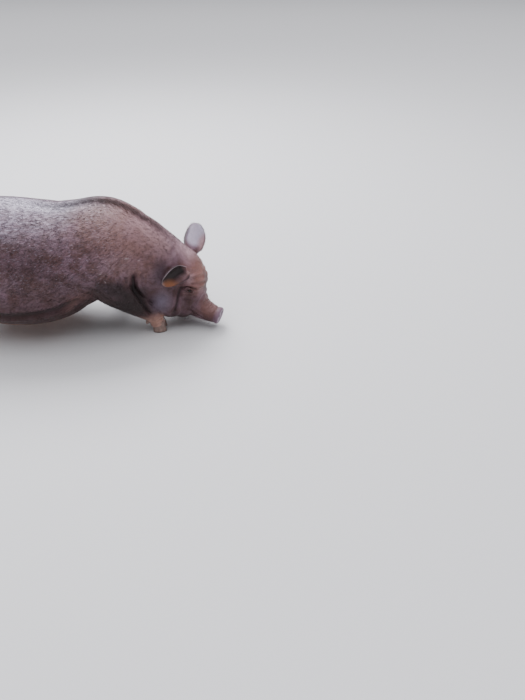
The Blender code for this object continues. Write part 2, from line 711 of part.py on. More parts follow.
def ear(name, root, tip, opening, bow, outline, body):
    """A cupped ear on a stiff curled root, rising from the skull."""
    root, tip = HEAD @ Vector(root), HEAD @ Vector(tip)
    opening, bow = HEAD.to_3x3() @ Vector(opening), HEAD.to_3x3() @ Vector(bow)
    along = (tip - root).normalized()
    opens = (opening - along * opening.dot(along)).normalized()
    across = opens.cross(along)
    length = (tip - root).length + EAR_SUNK
    bm = bmesh.new()
    bmesh.ops.create_grid(bm, x_segments=9, y_segments=10, size=1.0)
    outer = bmesh.ops.extrude_face_region(bm, geom=bm.faces)["geom"]
    bmesh.ops.translate(bm, vec=(0, 0, 1), verts=[v for v in outer if isinstance(v, bmesh.types.BMVert)])
    for vertex in bm.verts:
        share, side, layer = (vertex.co.x + 1) / 2, vertex.co.y, vertex.co.z
        width, cup = between(outline, share)
        radius = EAR_HALF_WIDTH * width / cup
        wall = EAR_WALL * (1.0 - 0.6 * max(side**4, share**4))
        away = across * math.sin(side * cup) - opens * math.cos(side * cup)
        back = EAR_CURL * EAR_HALF_WIDTH * share**2
        middle = root + along * (share * length - EAR_SUNK) + opens * (radius - back)
        middle += bow * math.sin(math.pi * share)
        vertex.co = middle + away * (radius + (layer - 0.5) * wall)
    bmesh.ops.recalc_face_normals(bm, faces=bm.faces)
    made = node(name, bm, SKIN)
    for part in body:
        cut(made, copy_of(part, "swollen skin", GAP))
    return largest_shell(made)


def lock(name, rows):
    """A flat tapered lock of bristles through rows of (place, half width, half thickness)."""
    bm = bmesh.new()
    limb(bm, [(*place, thick, wide) for place, wide, thick in rows], steps=1, sides=4)
    return node(name, bm, SKIN)


def fused(obj, locks):
    """Joins all the locks to obj as one closed skin."""
    together = bpy.data.collections.new("locks")
    for piece in locks:
        together.objects.link(piece)
    settings = {"operation": "UNION", "operand_type": "COLLECTION", "collection": together}
    with_modifiers(obj, ("BOOLEAN", {**settings, "solver": "EXACT"}))
    for piece in locks:
        bpy.data.objects.remove(piece, do_unlink=True)
    bpy.data.collections.remove(together)
    return obj


def crest(body):
    """Rows of locks along the back of the neck, from the withers to behind the ears."""
    chance = random.Random(11)
    tree = BVHTree.FromObject(body, bpy.context.evaluated_depsgraph_get())
    locks = []
    count = int((CREST_TO - CREST_FROM) / CREST_STEP)
    for i in range(count):
        for row, y in enumerate(CREST_ROWS):
            x = CREST_FROM + (i + (row % 2) / 2) * CREST_STEP + chance.uniform(-0.002, 0.002)
            side = y + NECK_SWING * max(x - NECK_CUT[0][0], 0.0)
            at, out, _, _ = tree.ray_cast(Vector((x, side, 1.0)), Vector((0, 0, -1)))
            back = Vector((-1.0, 0.5 * y / CREST_ROWS[-1] * chance.uniform(0.1, 0.6), 0.0))
            back = (back - out * back.dot(out)).normalized()
            grown = chance.uniform(0.85, 1.1)
            rows = [
                (at + back * along * grown + out * off * grown, wide, thick)
                for along, off, wide, thick in CREST_LOCK
            ]
            locks.append(lock("crest lock", rows))
    return fused(body, locks)


def switch(tail):
    """The long bristles at the end of the tail, hanging in a loose bundle."""
    _, x, y, z, _, _ = TAIL[-2]
    locks = []
    for i in range(SWITCH_LOCKS):
        turn = i * math.radians(137.5)
        aside = Vector((math.cos(turn), math.sin(turn), 0.0))
        start = Vector((x, y, z - 0.004 * i + 0.012))
        long = SWITCH_LENGTH * (0.8 + 0.2 * (i % 3) / 2)
        hang = Vector((0.0, 0.0, -long))
        rows = [
            (start + aside * out + hang * down, SWITCH_WIDTH * wide, SWITCH_THICKNESS * thick)
            for out, down, wide, thick in SWITCH_LOCK
        ]
        locks.append(lock("switch lock", rows))
    return fused(tail, locks)


def teats(torso):
    tree = BVHTree.FromObject(torso, bpy.context.evaluated_depsgraph_get())
    bm = bmesh.new()
    for x in TEATS_AT:
        for y in (TEAT_SIDE, -TEAT_SIDE):
            at, normal, _, _ = tree.ray_cast(Vector((x, y, 0.0)), Vector((0, 0, 1)))
            down = (normal + Vector((0, 0, -1))).normalized() * TEAT_LENGTH
            rings = ((at - down, 1.3), (at, 1.0), (at + down, 0.7))
            rows = [(*place, TEAT_RADIUS * wide, TEAT_RADIUS * wide) for place, wide in rings]
            limb(bm, rows, steps=1, sides=7)
    cut(torso, node("teats", bm, SKIN), "UNION")


body = crest(thinned(creased(melted_pig())))
for name, joints, side in LEGS:
    share, ahead, behind, aside = LEG_CUTS[name]
    place, axes = leg_axes(joints, side, share)
    leg = parted(body, name, place, axes, (-behind, -aside, -0.4), (ahead, aside, 0.0))
    foot_with_claws(leg, joints, side)

place, lean = HEAD_CUT
ahead = (0.0, -0.3, -0.3), (0.4, 0.3, 0.3)
head = parted(body, "head", *leaning_block(HEAD @ Vector(place), HEAD, lean, *ahead))
place, lean = NECK_CUT
ahead = (0.0, -0.4, -0.5), (0.5, 0.4, 0.4)
neck = parted(body, "neck", *leaning_block(Vector(place), WORLD, lean, *ahead))
body.name = "torso"

for name, root, tip, opening, bow, outline in EARS:
    ear(name, root, tip, opening, bow, outline, (head, neck))
eye(head, "eye_right", -1)
eye(head, "eye_left", 1)
snout(head)
mouth(head)
largest_shell(head)
teats(body)
largest_shell(body)

tail_flesh = bmesh.new()
limb(tail_flesh, [row[1:] for row in TAIL], steps=3, sides=10)
tail = node("tail", tail_flesh, SKIN)
switch(tail)
cut(tail, copy_of(body, "swollen torso", GAP))
largest_shell(tail)

for piece in bpy.context.scene.objects:
    piece.data.transform(Matrix.Translation(TO_ORIGIN))
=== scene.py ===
import math
import random

import bmesh
import bpy
import numpy as np
from mathutils import Matrix, Vector
from mathutils.bvhtree import BVHTree
from mathutils.kdtree import KDTree


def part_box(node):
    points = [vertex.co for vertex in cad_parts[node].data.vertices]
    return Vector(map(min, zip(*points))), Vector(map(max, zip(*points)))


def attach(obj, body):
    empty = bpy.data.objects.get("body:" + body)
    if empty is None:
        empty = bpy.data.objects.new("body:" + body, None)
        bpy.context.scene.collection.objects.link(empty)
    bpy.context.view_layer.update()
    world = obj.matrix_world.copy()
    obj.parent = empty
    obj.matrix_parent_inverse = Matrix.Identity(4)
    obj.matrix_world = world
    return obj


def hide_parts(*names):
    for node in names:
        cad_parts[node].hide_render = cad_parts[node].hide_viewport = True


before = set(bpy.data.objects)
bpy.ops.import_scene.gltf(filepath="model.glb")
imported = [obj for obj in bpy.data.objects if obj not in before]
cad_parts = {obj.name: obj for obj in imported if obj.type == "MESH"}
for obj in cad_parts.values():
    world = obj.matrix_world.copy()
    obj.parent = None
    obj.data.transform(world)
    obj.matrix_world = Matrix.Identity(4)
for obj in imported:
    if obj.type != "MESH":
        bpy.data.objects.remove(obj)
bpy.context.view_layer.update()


# The sow's flesh: trunk, neck, head and four legs, thick with fat, standing on level ground with the nose
# down. Each is a tapered limb or a rounded mass, and all are melted into one smooth form, without a seam.

AHEAD = 0.0195  # from the stations' own zero to the middle of her box
STAND = Matrix.Translation((AHEAD, 0.0, 0.0))

# Stations along the trunk: place, X, height of the top line, height of the underline, half width
TRUNK = (
    ("tail root", -0.570, 0.430, 0.345, 0.030),
    ("buttock", -0.550, 0.472, 0.285, 0.095),
    ("thurl", -0.505, 0.512, 0.232, 0.145),
    ("rump", -0.430, 0.540, 0.180, 0.180),
    ("hips", -0.340, 0.547, 0.130, 0.206),
    ("loin", -0.240, 0.536, 0.092, 0.226),
    ("flank", -0.130, 0.519, 0.080, 0.238),
    ("saddle", -0.030, 0.512, 0.102, 0.236),
    ("heart girth", 0.060, 0.517, 0.150, 0.220),
    ("withers", 0.135, 0.521, 0.190, 0.198),
    ("shoulder", 0.205, 0.481, 0.210, 0.165),
    ("chest", 0.270, 0.412, 0.215, 0.125),
    ("breast", 0.305, 0.350, 0.240, 0.070),
)
# Neck, from inside the trunk to the skull: centre, half height, half width
NECK = (
    ((0.090, 0.000, 0.340), 0.160, 0.170),
    ((0.190, -0.003, 0.305), 0.170, 0.162),
    ((0.275, -0.014, 0.255), 0.159, 0.146),
    ((0.345, -0.030, 0.217), 0.142, 0.128),
    ((0.385, -0.040, 0.195), 0.124, 0.112),
)
# Rounded masses of the body: name, centre, radii, turn about Y in degrees. Each lies on both sides
BODY_MASSES = (
    ("ham", (-0.430, 0.092, 0.330), (0.125, 0.085, 0.170), 12),
    ("shoulder blade", (0.118, 0.092, 0.330), (0.110, 0.100, 0.140), -18),
    ("belly", (-0.190, 0.075, 0.225), (0.270, 0.165, 0.150), 2),
    ("udder", (-0.225, 0.066, 0.128), (0.200, 0.090, 0.074), 2),
)

# The head's own axes: x to the snout along the mouth, y left, z up, from the poll between the ears
POLL = Vector((0.4555, -0.040, 0.306))
HEAD = (
    Matrix.Translation(POLL)
    @ Matrix.Rotation(math.radians(-24), 4, "Z")
    @ Matrix.Rotation(math.radians(22), 4, "Y")
    @ Matrix.Rotation(math.radians(-6), 4, "X")
)
# Stations and rounded masses of the head, as those of the body, but in its own axes
SKULL = (
    ("nape", -0.070, -0.010, -0.205, 0.095),
    ("poll", -0.025, 0.014, -0.230, 0.108),
    ("forehead", 0.024, -0.018, -0.242, 0.098),
    ("brow", 0.058, -0.070, -0.246, 0.080),
    ("stop", 0.092, -0.110, -0.246, 0.066),
    ("nose root", 0.122, -0.139, -0.242, 0.054),
    ("muzzle", 0.152, -0.152, -0.236, 0.047),
    ("lips", 0.184, -0.156, -0.229, 0.042),
    ("snout", 0.205, -0.157, -0.223, 0.038),
)
HEAD_MASSES = (
    ("jowl", (-0.008, 0.070, -0.184), (0.092, 0.058, 0.080), 15),
    ("cheek", (0.062, 0.046, -0.184), (0.056, 0.044, 0.066), 0),
    ("brow", (0.052, 0.040, -0.086), (0.034, 0.028, 0.024), 35),
    ("nape fat", (-0.045, 0.040, -0.045), (0.060, 0.055, 0.045), 0),
)

# Legs: joint, X, side (how far out from the middle), Z, half depth, half width
FORELEG_RIGHT = (
    ("shoulder", 0.095, 0.125, 0.340, 0.090, 0.062),
    ("elbow", 0.130, 0.148, 0.246, 0.074, 0.058),
    ("forearm", 0.200, 0.141, 0.164, 0.050, 0.045),
    ("wrist", 0.264, 0.124, 0.099, 0.036, 0.034),
    ("cannon", 0.282, 0.110, 0.066, 0.030, 0.030),
    ("foot", 0.293, 0.100, 0.030, 0.032, 0.034),
)
FORELEG_LEFT = (
    ("shoulder", 0.100, 0.125, 0.340, 0.085, 0.060),
    ("elbow", 0.105, 0.142, 0.238, 0.068, 0.056),
    ("forearm", 0.128, 0.140, 0.165, 0.046, 0.043),
    ("wrist", 0.142, 0.134, 0.102, 0.033, 0.032),
    ("cannon", 0.141, 0.130, 0.065, 0.028, 0.028),
    ("foot", 0.150, 0.128, 0.030, 0.031, 0.033),
)
HINDLEG_RIGHT = (
    ("stifle", -0.370, 0.115, 0.300, 0.110, 0.070),
    ("thigh", -0.405, 0.130, 0.225, 0.078, 0.056),
    ("gaskin", -0.448, 0.134, 0.165, 0.047, 0.040),
    ("hock", -0.470, 0.130, 0.120, 0.035, 0.031),
    ("cannon", -0.458, 0.127, 0.070, 0.027, 0.027),
    ("foot", -0.444, 0.126, 0.030, 0.031, 0.032),
)
HINDLEG_LEFT = (
    ("stifle", -0.350, 0.115, 0.300, 0.110, 0.070),
    ("thigh", -0.365, 0.130, 0.225, 0.078, 0.056),
    ("gaskin", -0.388, 0.134, 0.165, 0.047, 0.040),
    ("hock", -0.402, 0.130, 0.120, 0.035, 0.031),
    ("cannon", -0.388, 0.127, 0.070, 0.027, 0.027),
    ("foot", -0.372, 0.126, 0.030, 0.031, 0.032),
)
LEGS = (
    ("foreleg_right", FORELEG_RIGHT, -1),
    ("foreleg_left", FORELEG_LEFT, 1),
    ("hindleg_right", HINDLEG_RIGHT, -1),
    ("hindleg_left", HINDLEG_LEFT, 1),
)
MELT = 0.0029  # cell of the grid that melts the masses together
SOFTENED = 42  # rounds of smoothing after it
COAT_DEPTH = 0.0012  # how far the skin lies inside the solid body


def between(stations, share):
    """The stations' numbers at share, from 0 at the first to 1 at the last, on a smooth curve."""
    place = share * (len(stations) - 1)
    i = min(int(place), len(stations) - 2)
    t = place - i
    a, b, c, d = (
        np.array(stations[min(max(i + k, 0), len(stations) - 1)], float) for k in (-1, 0, 1, 2)
    )
    return b + 0.5 * t * (c - a + t * (2 * a - 5 * b + 4 * c - d + t * (3 * (b - c) + d - a)))


def lofted(bm, loops):
    """Skins rings of edges one after another and closes both ends."""
    for first, second in zip(loops, loops[1:]):
        bmesh.ops.bridge_loops(bm, edges=first + second)
    for end in (loops[0], loops[-1]):
        bmesh.ops.contextual_create(bm, geom=end)


def ring(bm, sides, matrix):
    """The edges of one round ring."""
    made = bmesh.ops.create_circle(bm, segments=sides, radius=1.0, matrix=matrix)
    return list({edge for vertex in made["verts"] for edge in vertex.link_edges})


def limb(bm, stations, steps=6, sides=36):
    """A closed tapered tube through stations of (x, y, z, half depth, half width)."""
    count = (len(stations) - 1) * steps
    rows = [between(stations, i / count) for i in range(count + 1)]
    loops = []
    for i, row in enumerate(rows):
        along = Vector(rows[min(i + 1, count)][:3] - rows[max(i - 1, 0)][:3]).normalized()
        across = (Vector((0, 1, 0)) - along * along.y).normalized()
        turn = Matrix((across.cross(along) * row[3], across * row[4], along)).transposed()
        loops.append(ring(bm, sides, Matrix.Translation(row[:3]) @ turn.to_4x4()))
    lofted(bm, loops)


def mass(bm, centre, radii, degrees):
    """A rounded mass: a ball stretched to its radii and turned about its own Y axis."""
    turn = Matrix.Rotation(math.radians(degrees), 4, "Y")
    place = Matrix.Translation(centre) @ turn @ Matrix.Diagonal((*radii, 1.0))
    bmesh.ops.create_icosphere(bm, subdivisions=5, radius=1.0, matrix=place)


def barrel(bm, stations, sides):
    """A closed tube through stations of (name, x, top, bottom, half width)."""
    rows = [(x, 0.0, (top + low) / 2, (top - low) / 2, half) for _, x, top, low, half in stations]
    limb(bm, rows, sides=sides)


def paired(bm, masses):
    """Rounded masses, each on both sides."""
    for _, (x, y, z), radii, degrees in masses:
        mass(bm, (x, y, z), radii, degrees)
        mass(bm, (x, -y, z), radii, degrees)


def leg_rows(joints, side):
    """The stations of a leg on her left, side 1, or on her right, side -1."""
    return [(x, y * side, z, deep, wide) for _, x, y, z, deep, wide in joints]


def meshed(name, bm):
    """A mesh from a bmesh, which is freed."""
    mesh = bpy.data.meshes.new(name)
    bm.to_mesh(mesh)
    bm.free()
    return mesh


def placed(name, data):
    """An object in the scene from a mesh, a lamp or a camera."""
    made = bpy.data.objects.new(name, data)
    bpy.context.scene.collection.objects.link(made)
    return made


def shape(name, bm, axes=None):
    """An object from a bmesh given in axes of its own."""
    if axes is not None:
        bmesh.ops.transform(bm, matrix=axes, verts=bm.verts)
    bmesh.ops.recalc_face_normals(bm, faces=bm.faces)
    return placed(name, meshed(name, bm))


def joined(name, pieces):
    """One object from several, which are removed."""
    bm = bmesh.new()
    for piece in pieces:
        bm.from_mesh(piece.data)
        bpy.data.objects.remove(piece, do_unlink=True)
    return placed(name, meshed(name, bm))


def with_modifiers(obj, *settings):
    """Applies modifiers, given as (type, {attribute: value}), to the object's mesh."""
    for kind, values in settings:
        modifier = obj.modifiers.new(kind.title(), kind)
        for name, value in values.items():
            setattr(modifier, name, value)
    graph = bpy.context.evaluated_depsgraph_get()
    made = bpy.data.meshes.new_from_object(obj.evaluated_get(graph), depsgraph=graph)
    obj.modifiers.clear()
    old = obj.data
    obj.data = made
    bpy.data.meshes.remove(old)
    return obj


def outer_shell(obj):
    """Keeps only the largest closed surface of the object."""
    bm = bmesh.new()
    bm.from_mesh(obj.data)
    seen, largest = set(), set()
    for first in bm.verts:
        if first in seen:
            continue
        shell, front = {first}, [first]
        while front:
            for edge in front.pop().link_edges:
                for vertex in edge.verts:
                    if vertex not in shell:
                        shell.add(vertex)
                        front.append(vertex)
        seen |= shell
        largest = max(largest, shell, key=len)
    bmesh.ops.delete(bm, geom=[v for v in bm.verts if v not in largest], context="VERTS")
    bm.to_mesh(obj.data)
    bm.free()
    return obj


def points_of(mesh):
    """The mesh's points and their normals, as two arrays."""
    places = np.empty(len(mesh.vertices) * 3)
    mesh.vertices.foreach_get("co", places)
    normals = np.empty(len(mesh.vertices) * 3)
    mesh.vertex_normals.foreach_get("vector", normals)
    return places.reshape(-1, 3), normals.reshape(-1, 3)


def in_head(places):
    """Places turned into the head's own axes."""
    back = np.array(HEAD.inverted())
    return places @ back[:3, :3].T + back[:3, 3]


body = bmesh.new()
barrel(body, TRUNK, 64)
limb(body, [(*centre, height, width) for centre, height, width in NECK], sides=56)
paired(body, BODY_MASSES)
for _, joints, side in LEGS:
    limb(body, leg_rows(joints, side))
head = bmesh.new()
barrel(head, SKULL, 56)
paired(head, HEAD_MASSES)
skin = joined("skin", [shape("body masses", body, STAND), shape("head masses", head, HEAD)])
with_modifiers(skin, ("REMESH", {"mode": "VOXEL", "voxel_size": MELT}))
outer_shell(skin)
with_modifiers(skin, ("SMOOTH", {"factor": 0.5, "iterations": SOFTENED}))

# The head's faces are halved, so that they hold its wrinkles
FACE_FROM = -0.085
places, normals = points_of(skin.data)
ahead = in_head(places)[:, 0] > FACE_FROM
bm = bmesh.new()
bm.from_mesh(skin.data)
inside = {vertex for vertex, chosen in zip(bm.verts, ahead) if chosen}
edges = [edge for edge in bm.edges if edge.verts[0] in inside and edge.verts[1] in inside]
bmesh.ops.subdivide_edges(bm, edges=edges, cuts=1, use_grid_fill=True, smooth=0.0)
bmesh.ops.triangulate(bm, faces=[face for face in bm.faces if len(face.verts) > 4])
bm.to_mesh(skin.data)
bm.free()
with_modifiers(skin, ("SMOOTH", {"factor": 0.5, "iterations": 3}))


# Her skin lies in folds where fat rolls against fat: jowl on shoulder, udder on flank, brow over eye. Each
# fold is pressed in along a line near the skin and dies out at both ends, with a soft roll on either side.

# Folds of the body, in the stations' axes: name, depth, half width, places near the skin that it runs through
BODY_FOLDS = (
    ("jowl", 0.0120, 0.0095, (0.234, -0.165, 0.320), (0.227, -0.158, 0.265), (0.228, -0.150, 0.210),
        (0.254, -0.155, 0.152), (0.284, -0.160, 0.108), (0.298, -0.140, 0.085)),
    ("far jowl", 0.0110, 0.0140, (0.240, 0.130, 0.350), (0.250, 0.130, 0.240), (0.262, 0.115, 0.170),
        (0.270, 0.080, 0.130)),
    ("flank", 0.0080, 0.0240, (-0.325, -0.205, 0.340), (-0.338, -0.198, 0.270), (-0.352, -0.186, 0.210),
        (-0.375, -0.170, 0.165)),
    ("far flank", 0.0080, 0.0240, (-0.305, 0.205, 0.340), (-0.318, 0.198, 0.270), (-0.330, 0.186, 0.210),
        (-0.350, 0.170, 0.165)),
    ("udder", 0.0110, 0.0130, (-0.350, -0.212, 0.182), (-0.200, -0.230, 0.182), (-0.060, -0.210, 0.190),
        (0.017, -0.194, 0.221), (0.070, -0.196, 0.255)),
    ("far udder", 0.0080, 0.0150, (-0.340, 0.215, 0.180), (-0.200, 0.230, 0.180), (-0.060, 0.215, 0.185),
        (0.030, 0.190, 0.200)),
    ("hams", 0.0160, 0.0200, (-0.565, 0.0, 0.410), (-0.560, 0.0, 0.350), (-0.540, 0.0, 0.280),
        (-0.480, 0.0, 0.200)),
)
# Folds of the head, in its own axes, each of them on both sides
HEAD_FOLDS = (
    ("cheek", 0.0080, 0.0080, (0.040, 0.088, -0.074), (0.039, 0.090, -0.092), (0.042, 0.092, -0.120),
        (0.048, 0.098, -0.150), (0.055, 0.106, -0.185), (0.052, 0.096, -0.235)),
    ("over the eye", 0.0058, 0.0054, (0.032, 0.092, -0.104), (0.054, 0.090, -0.092), (0.078, 0.080, -0.087),
        (0.108, 0.048, -0.096)),
    ("muzzle", 0.0030, 0.0095, (0.090, 0.064, -0.114), (0.100, 0.062, -0.138), (0.110, 0.061, -0.164),
        (0.116, 0.060, -0.192)),
    ("bag", 0.0026, 0.0034, (0.052, 0.094, -0.118), (0.070, 0.088, -0.122), (0.088, 0.076, -0.118),
        (0.104, 0.060, -0.107)),
    ("lower bag", 0.0020, 0.0036, (0.050, 0.096, -0.136), (0.072, 0.088, -0.140), (0.094, 0.074, -0.134),
        (0.108, 0.058, -0.120)),
    ("frown", 0.0032, 0.0062, (0.052, 0.080, -0.056), (0.074, 0.052, -0.054), (0.086, 0.024, -0.050),
        (0.088, 0.004, -0.050)),
    ("brow", 0.0034, 0.0058, (0.062, 0.084, -0.070), (0.088, 0.050, -0.070), (0.102, 0.020, -0.070),
        (0.106, 0.003, -0.072)),
    ("high frown", 0.0022, 0.0062, (0.030, 0.086, -0.040), (0.054, 0.058, -0.036), (0.068, 0.030, -0.032),
        (0.070, 0.004, -0.032)),
    ("snout", 0.0034, 0.0058, (0.116, 0.056, -0.176), (0.124, 0.046, -0.146), (0.130, 0.026, -0.124),
        (0.132, 0.0, -0.118)),
    ("lip", 0.0018, 0.0036, (0.096, 0.060, -0.172), (0.120, 0.050, -0.182), (0.150, 0.044, -0.190),
        (0.178, 0.038, -0.196)),
    ("chin", 0.0018, 0.0040, (0.100, 0.052, -0.210), (0.130, 0.046, -0.214), (0.160, 0.038, -0.220)),
    ("ear", 0.0026, 0.0090, (-0.020, 0.102, -0.020), (-0.030, 0.104, -0.060), (-0.026, 0.108, -0.100)),
    ("nape", 0.0014, 0.0095, (-0.052, 0.020, -0.010), (-0.056, 0.060, -0.022), (-0.052, 0.096, -0.060),
        (-0.040, 0.112, -0.110)),
)
THROAT_FOLDS = (
    ("throat", 0.0045, 0.0080, (0.062, 0.060, -0.250), (0.070, 0.0, -0.258), (0.062, -0.060, -0.250)),
    ("lower throat", 0.0045, 0.0080, (0.020, 0.070, -0.262), (0.026, 0.0, -0.268), (0.020, -0.070, -0.262)),
)
# Wrinkles across a leg: place from 0 at its top joint to 1 at the foot, depth
LEG_LINES = ((0.50, 0.0016), (0.56, 0.0024), (0.61, 0.0026), (0.66, 0.0018), (0.84, 0.0020), (0.92, 0.0022))
FADING = 0.22  # share of a fold's length over which it dies out at either end
ROLL = 0.42  # height of the roll on either side of a fold, as a share of its depth
DARKEST_FROM = 0.010  # depth from which a fold's bottom takes the darkest painted shade


def mirrored(path):
    return tuple((x, -y, z) for x, y, z in path)


def bridge_wrinkles(chance):
    """Short wrinkles across the bridge of the nose, closer together towards the snout."""
    for i in range(7):
        x = 0.140 + 0.0086 * i + chance.uniform(-0.001, 0.001)
        reach = chance.uniform(0.7, 1.0)
        side = 0.040 - 0.0008 * i
        top = -0.146 - 0.0024 * i
        outer, inner = (x - 0.006, side * reach, top - 0.030 * reach), (x, side * 0.6, top)
        path = (outer, inner, (x + 0.002, 0.0, top + 0.003))
        path += mirrored(path)[-2::-1]
        yield HEAD, chance.uniform(0.0009, 0.0017), 0.0030, path


def leg_wrinkles(chance):
    """Wrinkles across the front of each wrist and hock, and over each fetlock."""
    turns = [math.radians(a) for a in (-100, -50, 0, 50, 100)]
    for _, joints, side in LEGS:
        for share, depth in LEG_LINES:
            x, y, z, deep, wide = between(leg_rows(joints, side), share + chance.uniform(-0.01, 0.01))
            path = [(x + deep * math.cos(a), y + wide * math.sin(a), z + 0.006 * math.cos(a)) for a in turns]
            yield STAND, depth, 0.0048, path


def soft_wrinkles(chance):
    """Shallow wrinkles of loose skin: round the neck, behind the elbow, along the flank, and over the ham."""
    for i in range(6):
        x = 0.250 + 0.026 * i
        for side in (-1, 1):
            path = []
            for j in range(5):
                turn = math.radians(28 + 17 * j + chance.uniform(-5, 5))
                y = side * (0.165 - 0.006 * i) * math.sin(turn)
                path.append((x + 0.010 * j, y - 0.010 * i * 0.5, 0.270 - 0.010 * i + 0.16 * math.cos(turn)))
            yield STAND, chance.uniform(0.0006, 0.0014), chance.uniform(0.007, 0.010), path
    for i in range(5):
        for side in (-1, 1):
            x, z = 0.020 + 0.022 * i, 0.300 - 0.022 * i
            xs = [x + 0.030 * j + chance.uniform(-0.004, 0.004) for j in range(4)]
            path = [(x, side * 0.215, z - 0.020 * j) for j, x in enumerate(xs)]
            yield STAND, chance.uniform(0.0010, 0.0022), chance.uniform(0.006, 0.009), path
    for i in range(7):
        for side in (-1, 1):
            x, z = -0.330 + 0.055 * i, 0.236 + chance.uniform(-0.012, 0.012)
            path = [(x + 0.028 * j, side * 0.24, z + 0.006 * j * chance.uniform(-1, 1)) for j in range(4)]
            yield STAND, chance.uniform(0.0008, 0.0018), chance.uniform(0.006, 0.010), path
    for i in range(5):
        for side in (-1, 1):
            x, z = -0.470 + 0.030 * i, 0.300 - 0.020 * i
            path = [(x + 0.010 * j, side * 0.20, z - 0.035 * j) for j in range(3)]
            yield STAND, chance.uniform(0.0010, 0.0020), chance.uniform(0.007, 0.011), path


def every_fold():
    """All folds and wrinkles: their axes, depth, half width and path."""
    chance = random.Random(5)
    for _, depth, width, *path in BODY_FOLDS:
        yield STAND, depth, width, path
    for _, depth, width, *path in HEAD_FOLDS:
        yield HEAD, depth, width, path
        yield HEAD, depth, width, mirrored(path)
    for _, depth, width, *path in THROAT_FOLDS:
        yield HEAD, depth, width, path
    yield from bridge_wrinkles(chance)
    yield from leg_wrinkles(chance)
    yield from soft_wrinkles(chance)


def smooth(value, low, high):
    """0 at low and 1 at high, with a soft start and end."""
    t = np.clip((value - low) / (high - low), 0.0, 1.0)
    return t * t * (3.0 - 2.0 * t)


def along_path(points, path):
    """How far each point lies from a path of straight stretches, and where along it, from 0 to 1."""
    least = np.full(len(points), 9.0)
    share = np.zeros(len(points))
    lengths = np.linalg.norm(np.diff(path, axis=0), axis=1)
    starts = np.concatenate(([0.0], np.cumsum(lengths)))
    for i, (start, end) in enumerate(zip(path, path[1:])):
        along = end - start
        t = np.clip((points - start) @ along / max(along @ along, 1e-12), 0.0, 1.0)
        away = np.linalg.norm(points - start - t[:, None] * along, axis=1)
        nearer = away < least
        least[nearer] = away[nearer]
        share[nearer] = (starts[i] + t[nearer] * lengths[i]) / starts[-1]
    return least, share


def folds_at(places, laid_folds):
    """How far each place is moved out by all folds, and how much painted shade it takes from lying deep in
    the bottom of a fold.
    """
    shift = np.zeros(len(places))
    fold_shade = np.zeros(len(places))
    for depth, width, path, bottom in laid_folds:
        near = np.all((places > path.min(0) - 4 * width) & (places < path.max(0) + 4 * width), axis=1)
        if not near.any():
            continue
        away, share = along_path(places[near], path)
        away /= width
        fade = smooth(np.minimum(share, 1.0 - share), 0.0, FADING)
        pressed = np.exp(-(away**2)) * fade
        roll = ROLL * np.exp(-(((away - 2.0) / 0.8) ** 2)) * fade
        shift[near] += depth * (roll - pressed)
        away, share = along_path(places[near], bottom)
        steep = min(1.0, depth / DARKEST_FROM) * min(1.0, depth / width) ** 2
        fold_shade[near] += np.exp(-((away * 1.2 / width) ** 2)) * fade * steep
    return shift, fold_shade


def laid_on(obj, folds):
    """The folds laid on the skin: depth, half width, places along the line, and along its bottom."""
    tree = BVHTree.FromObject(obj, bpy.context.evaluated_depsgraph_get())
    laid = []
    for axes, depth, width, path in folds:
        count = 4 * (len(path) - 1)
        line = [axes @ Vector(between(path, i / count)) for i in range(count + 1)]
        line = [tree.find_nearest(place)[0] for place in line]
        outs = []
        for place in line:
            around = (near[1] for near in tree.find_nearest_range(place, width))
            outs.append(sum(around, Vector()).normalized())
        laid.append((depth, width, np.array(line), np.array(line) - depth * np.array(outs)))
    return laid


folds = laid_on(skin, every_fold())
places, normals = points_of(skin.data)
shift, fold_shade = folds_at(places, folds)
skin.data.vertices.foreach_set("co", (places + normals * (shift - COAT_DEPTH)[:, None]).ravel())
skin.data.update()
with_modifiers(skin, ("SMOOTH", {"factor": 0.35, "iterations": 2}))


# Ears: small upright cups of thin gristle under thin skin, rooted on the skull above the eyes. The near one
# is turned down and out, the far one stands up with its back to the front.

EAR_HALF_WIDTH = 0.043
EAR_WALL = 0.0038  # thickness at the root
EAR_SUNK = 0.016  # how far the root runs on inside the head
EAR_CURL = 0.35  # how far the tip bends back, as a share of the half width
EAR_RIB = 0.0009  # height of the ribs inside the cup
# From root to tip in even steps: half width as a share of EAR_HALF_WIDTH, and half the angle of the cup
FOLDED_EAR = ((0.62, 2.10), (0.92, 1.70), (1.04, 1.35), (1.00, 1.10), (0.88, 0.95), (0.70, 0.85))
UPRIGHT_EAR = ((0.78, 1.75), (1.06, 1.35), (1.16, 1.12), (1.12, 0.97), (0.96, 0.85), (0.80, 0.80))
# Root, tip, side that the cup opens to, how far its middle bows out of line, outline, in the head's axes
EARS = (
    ((0.026, -0.084, -0.030), (-0.008, -0.150, -0.088), (0.62, -0.55, 0.30), (0.0, 0.006, 0.022), FOLDED_EAR),
    ((-0.012, 0.078, -0.018), (-0.043, 0.146, 0.058), (0.10, 0.75, -0.60), (0.0, 0.0, 0.0), UPRIGHT_EAR),
)


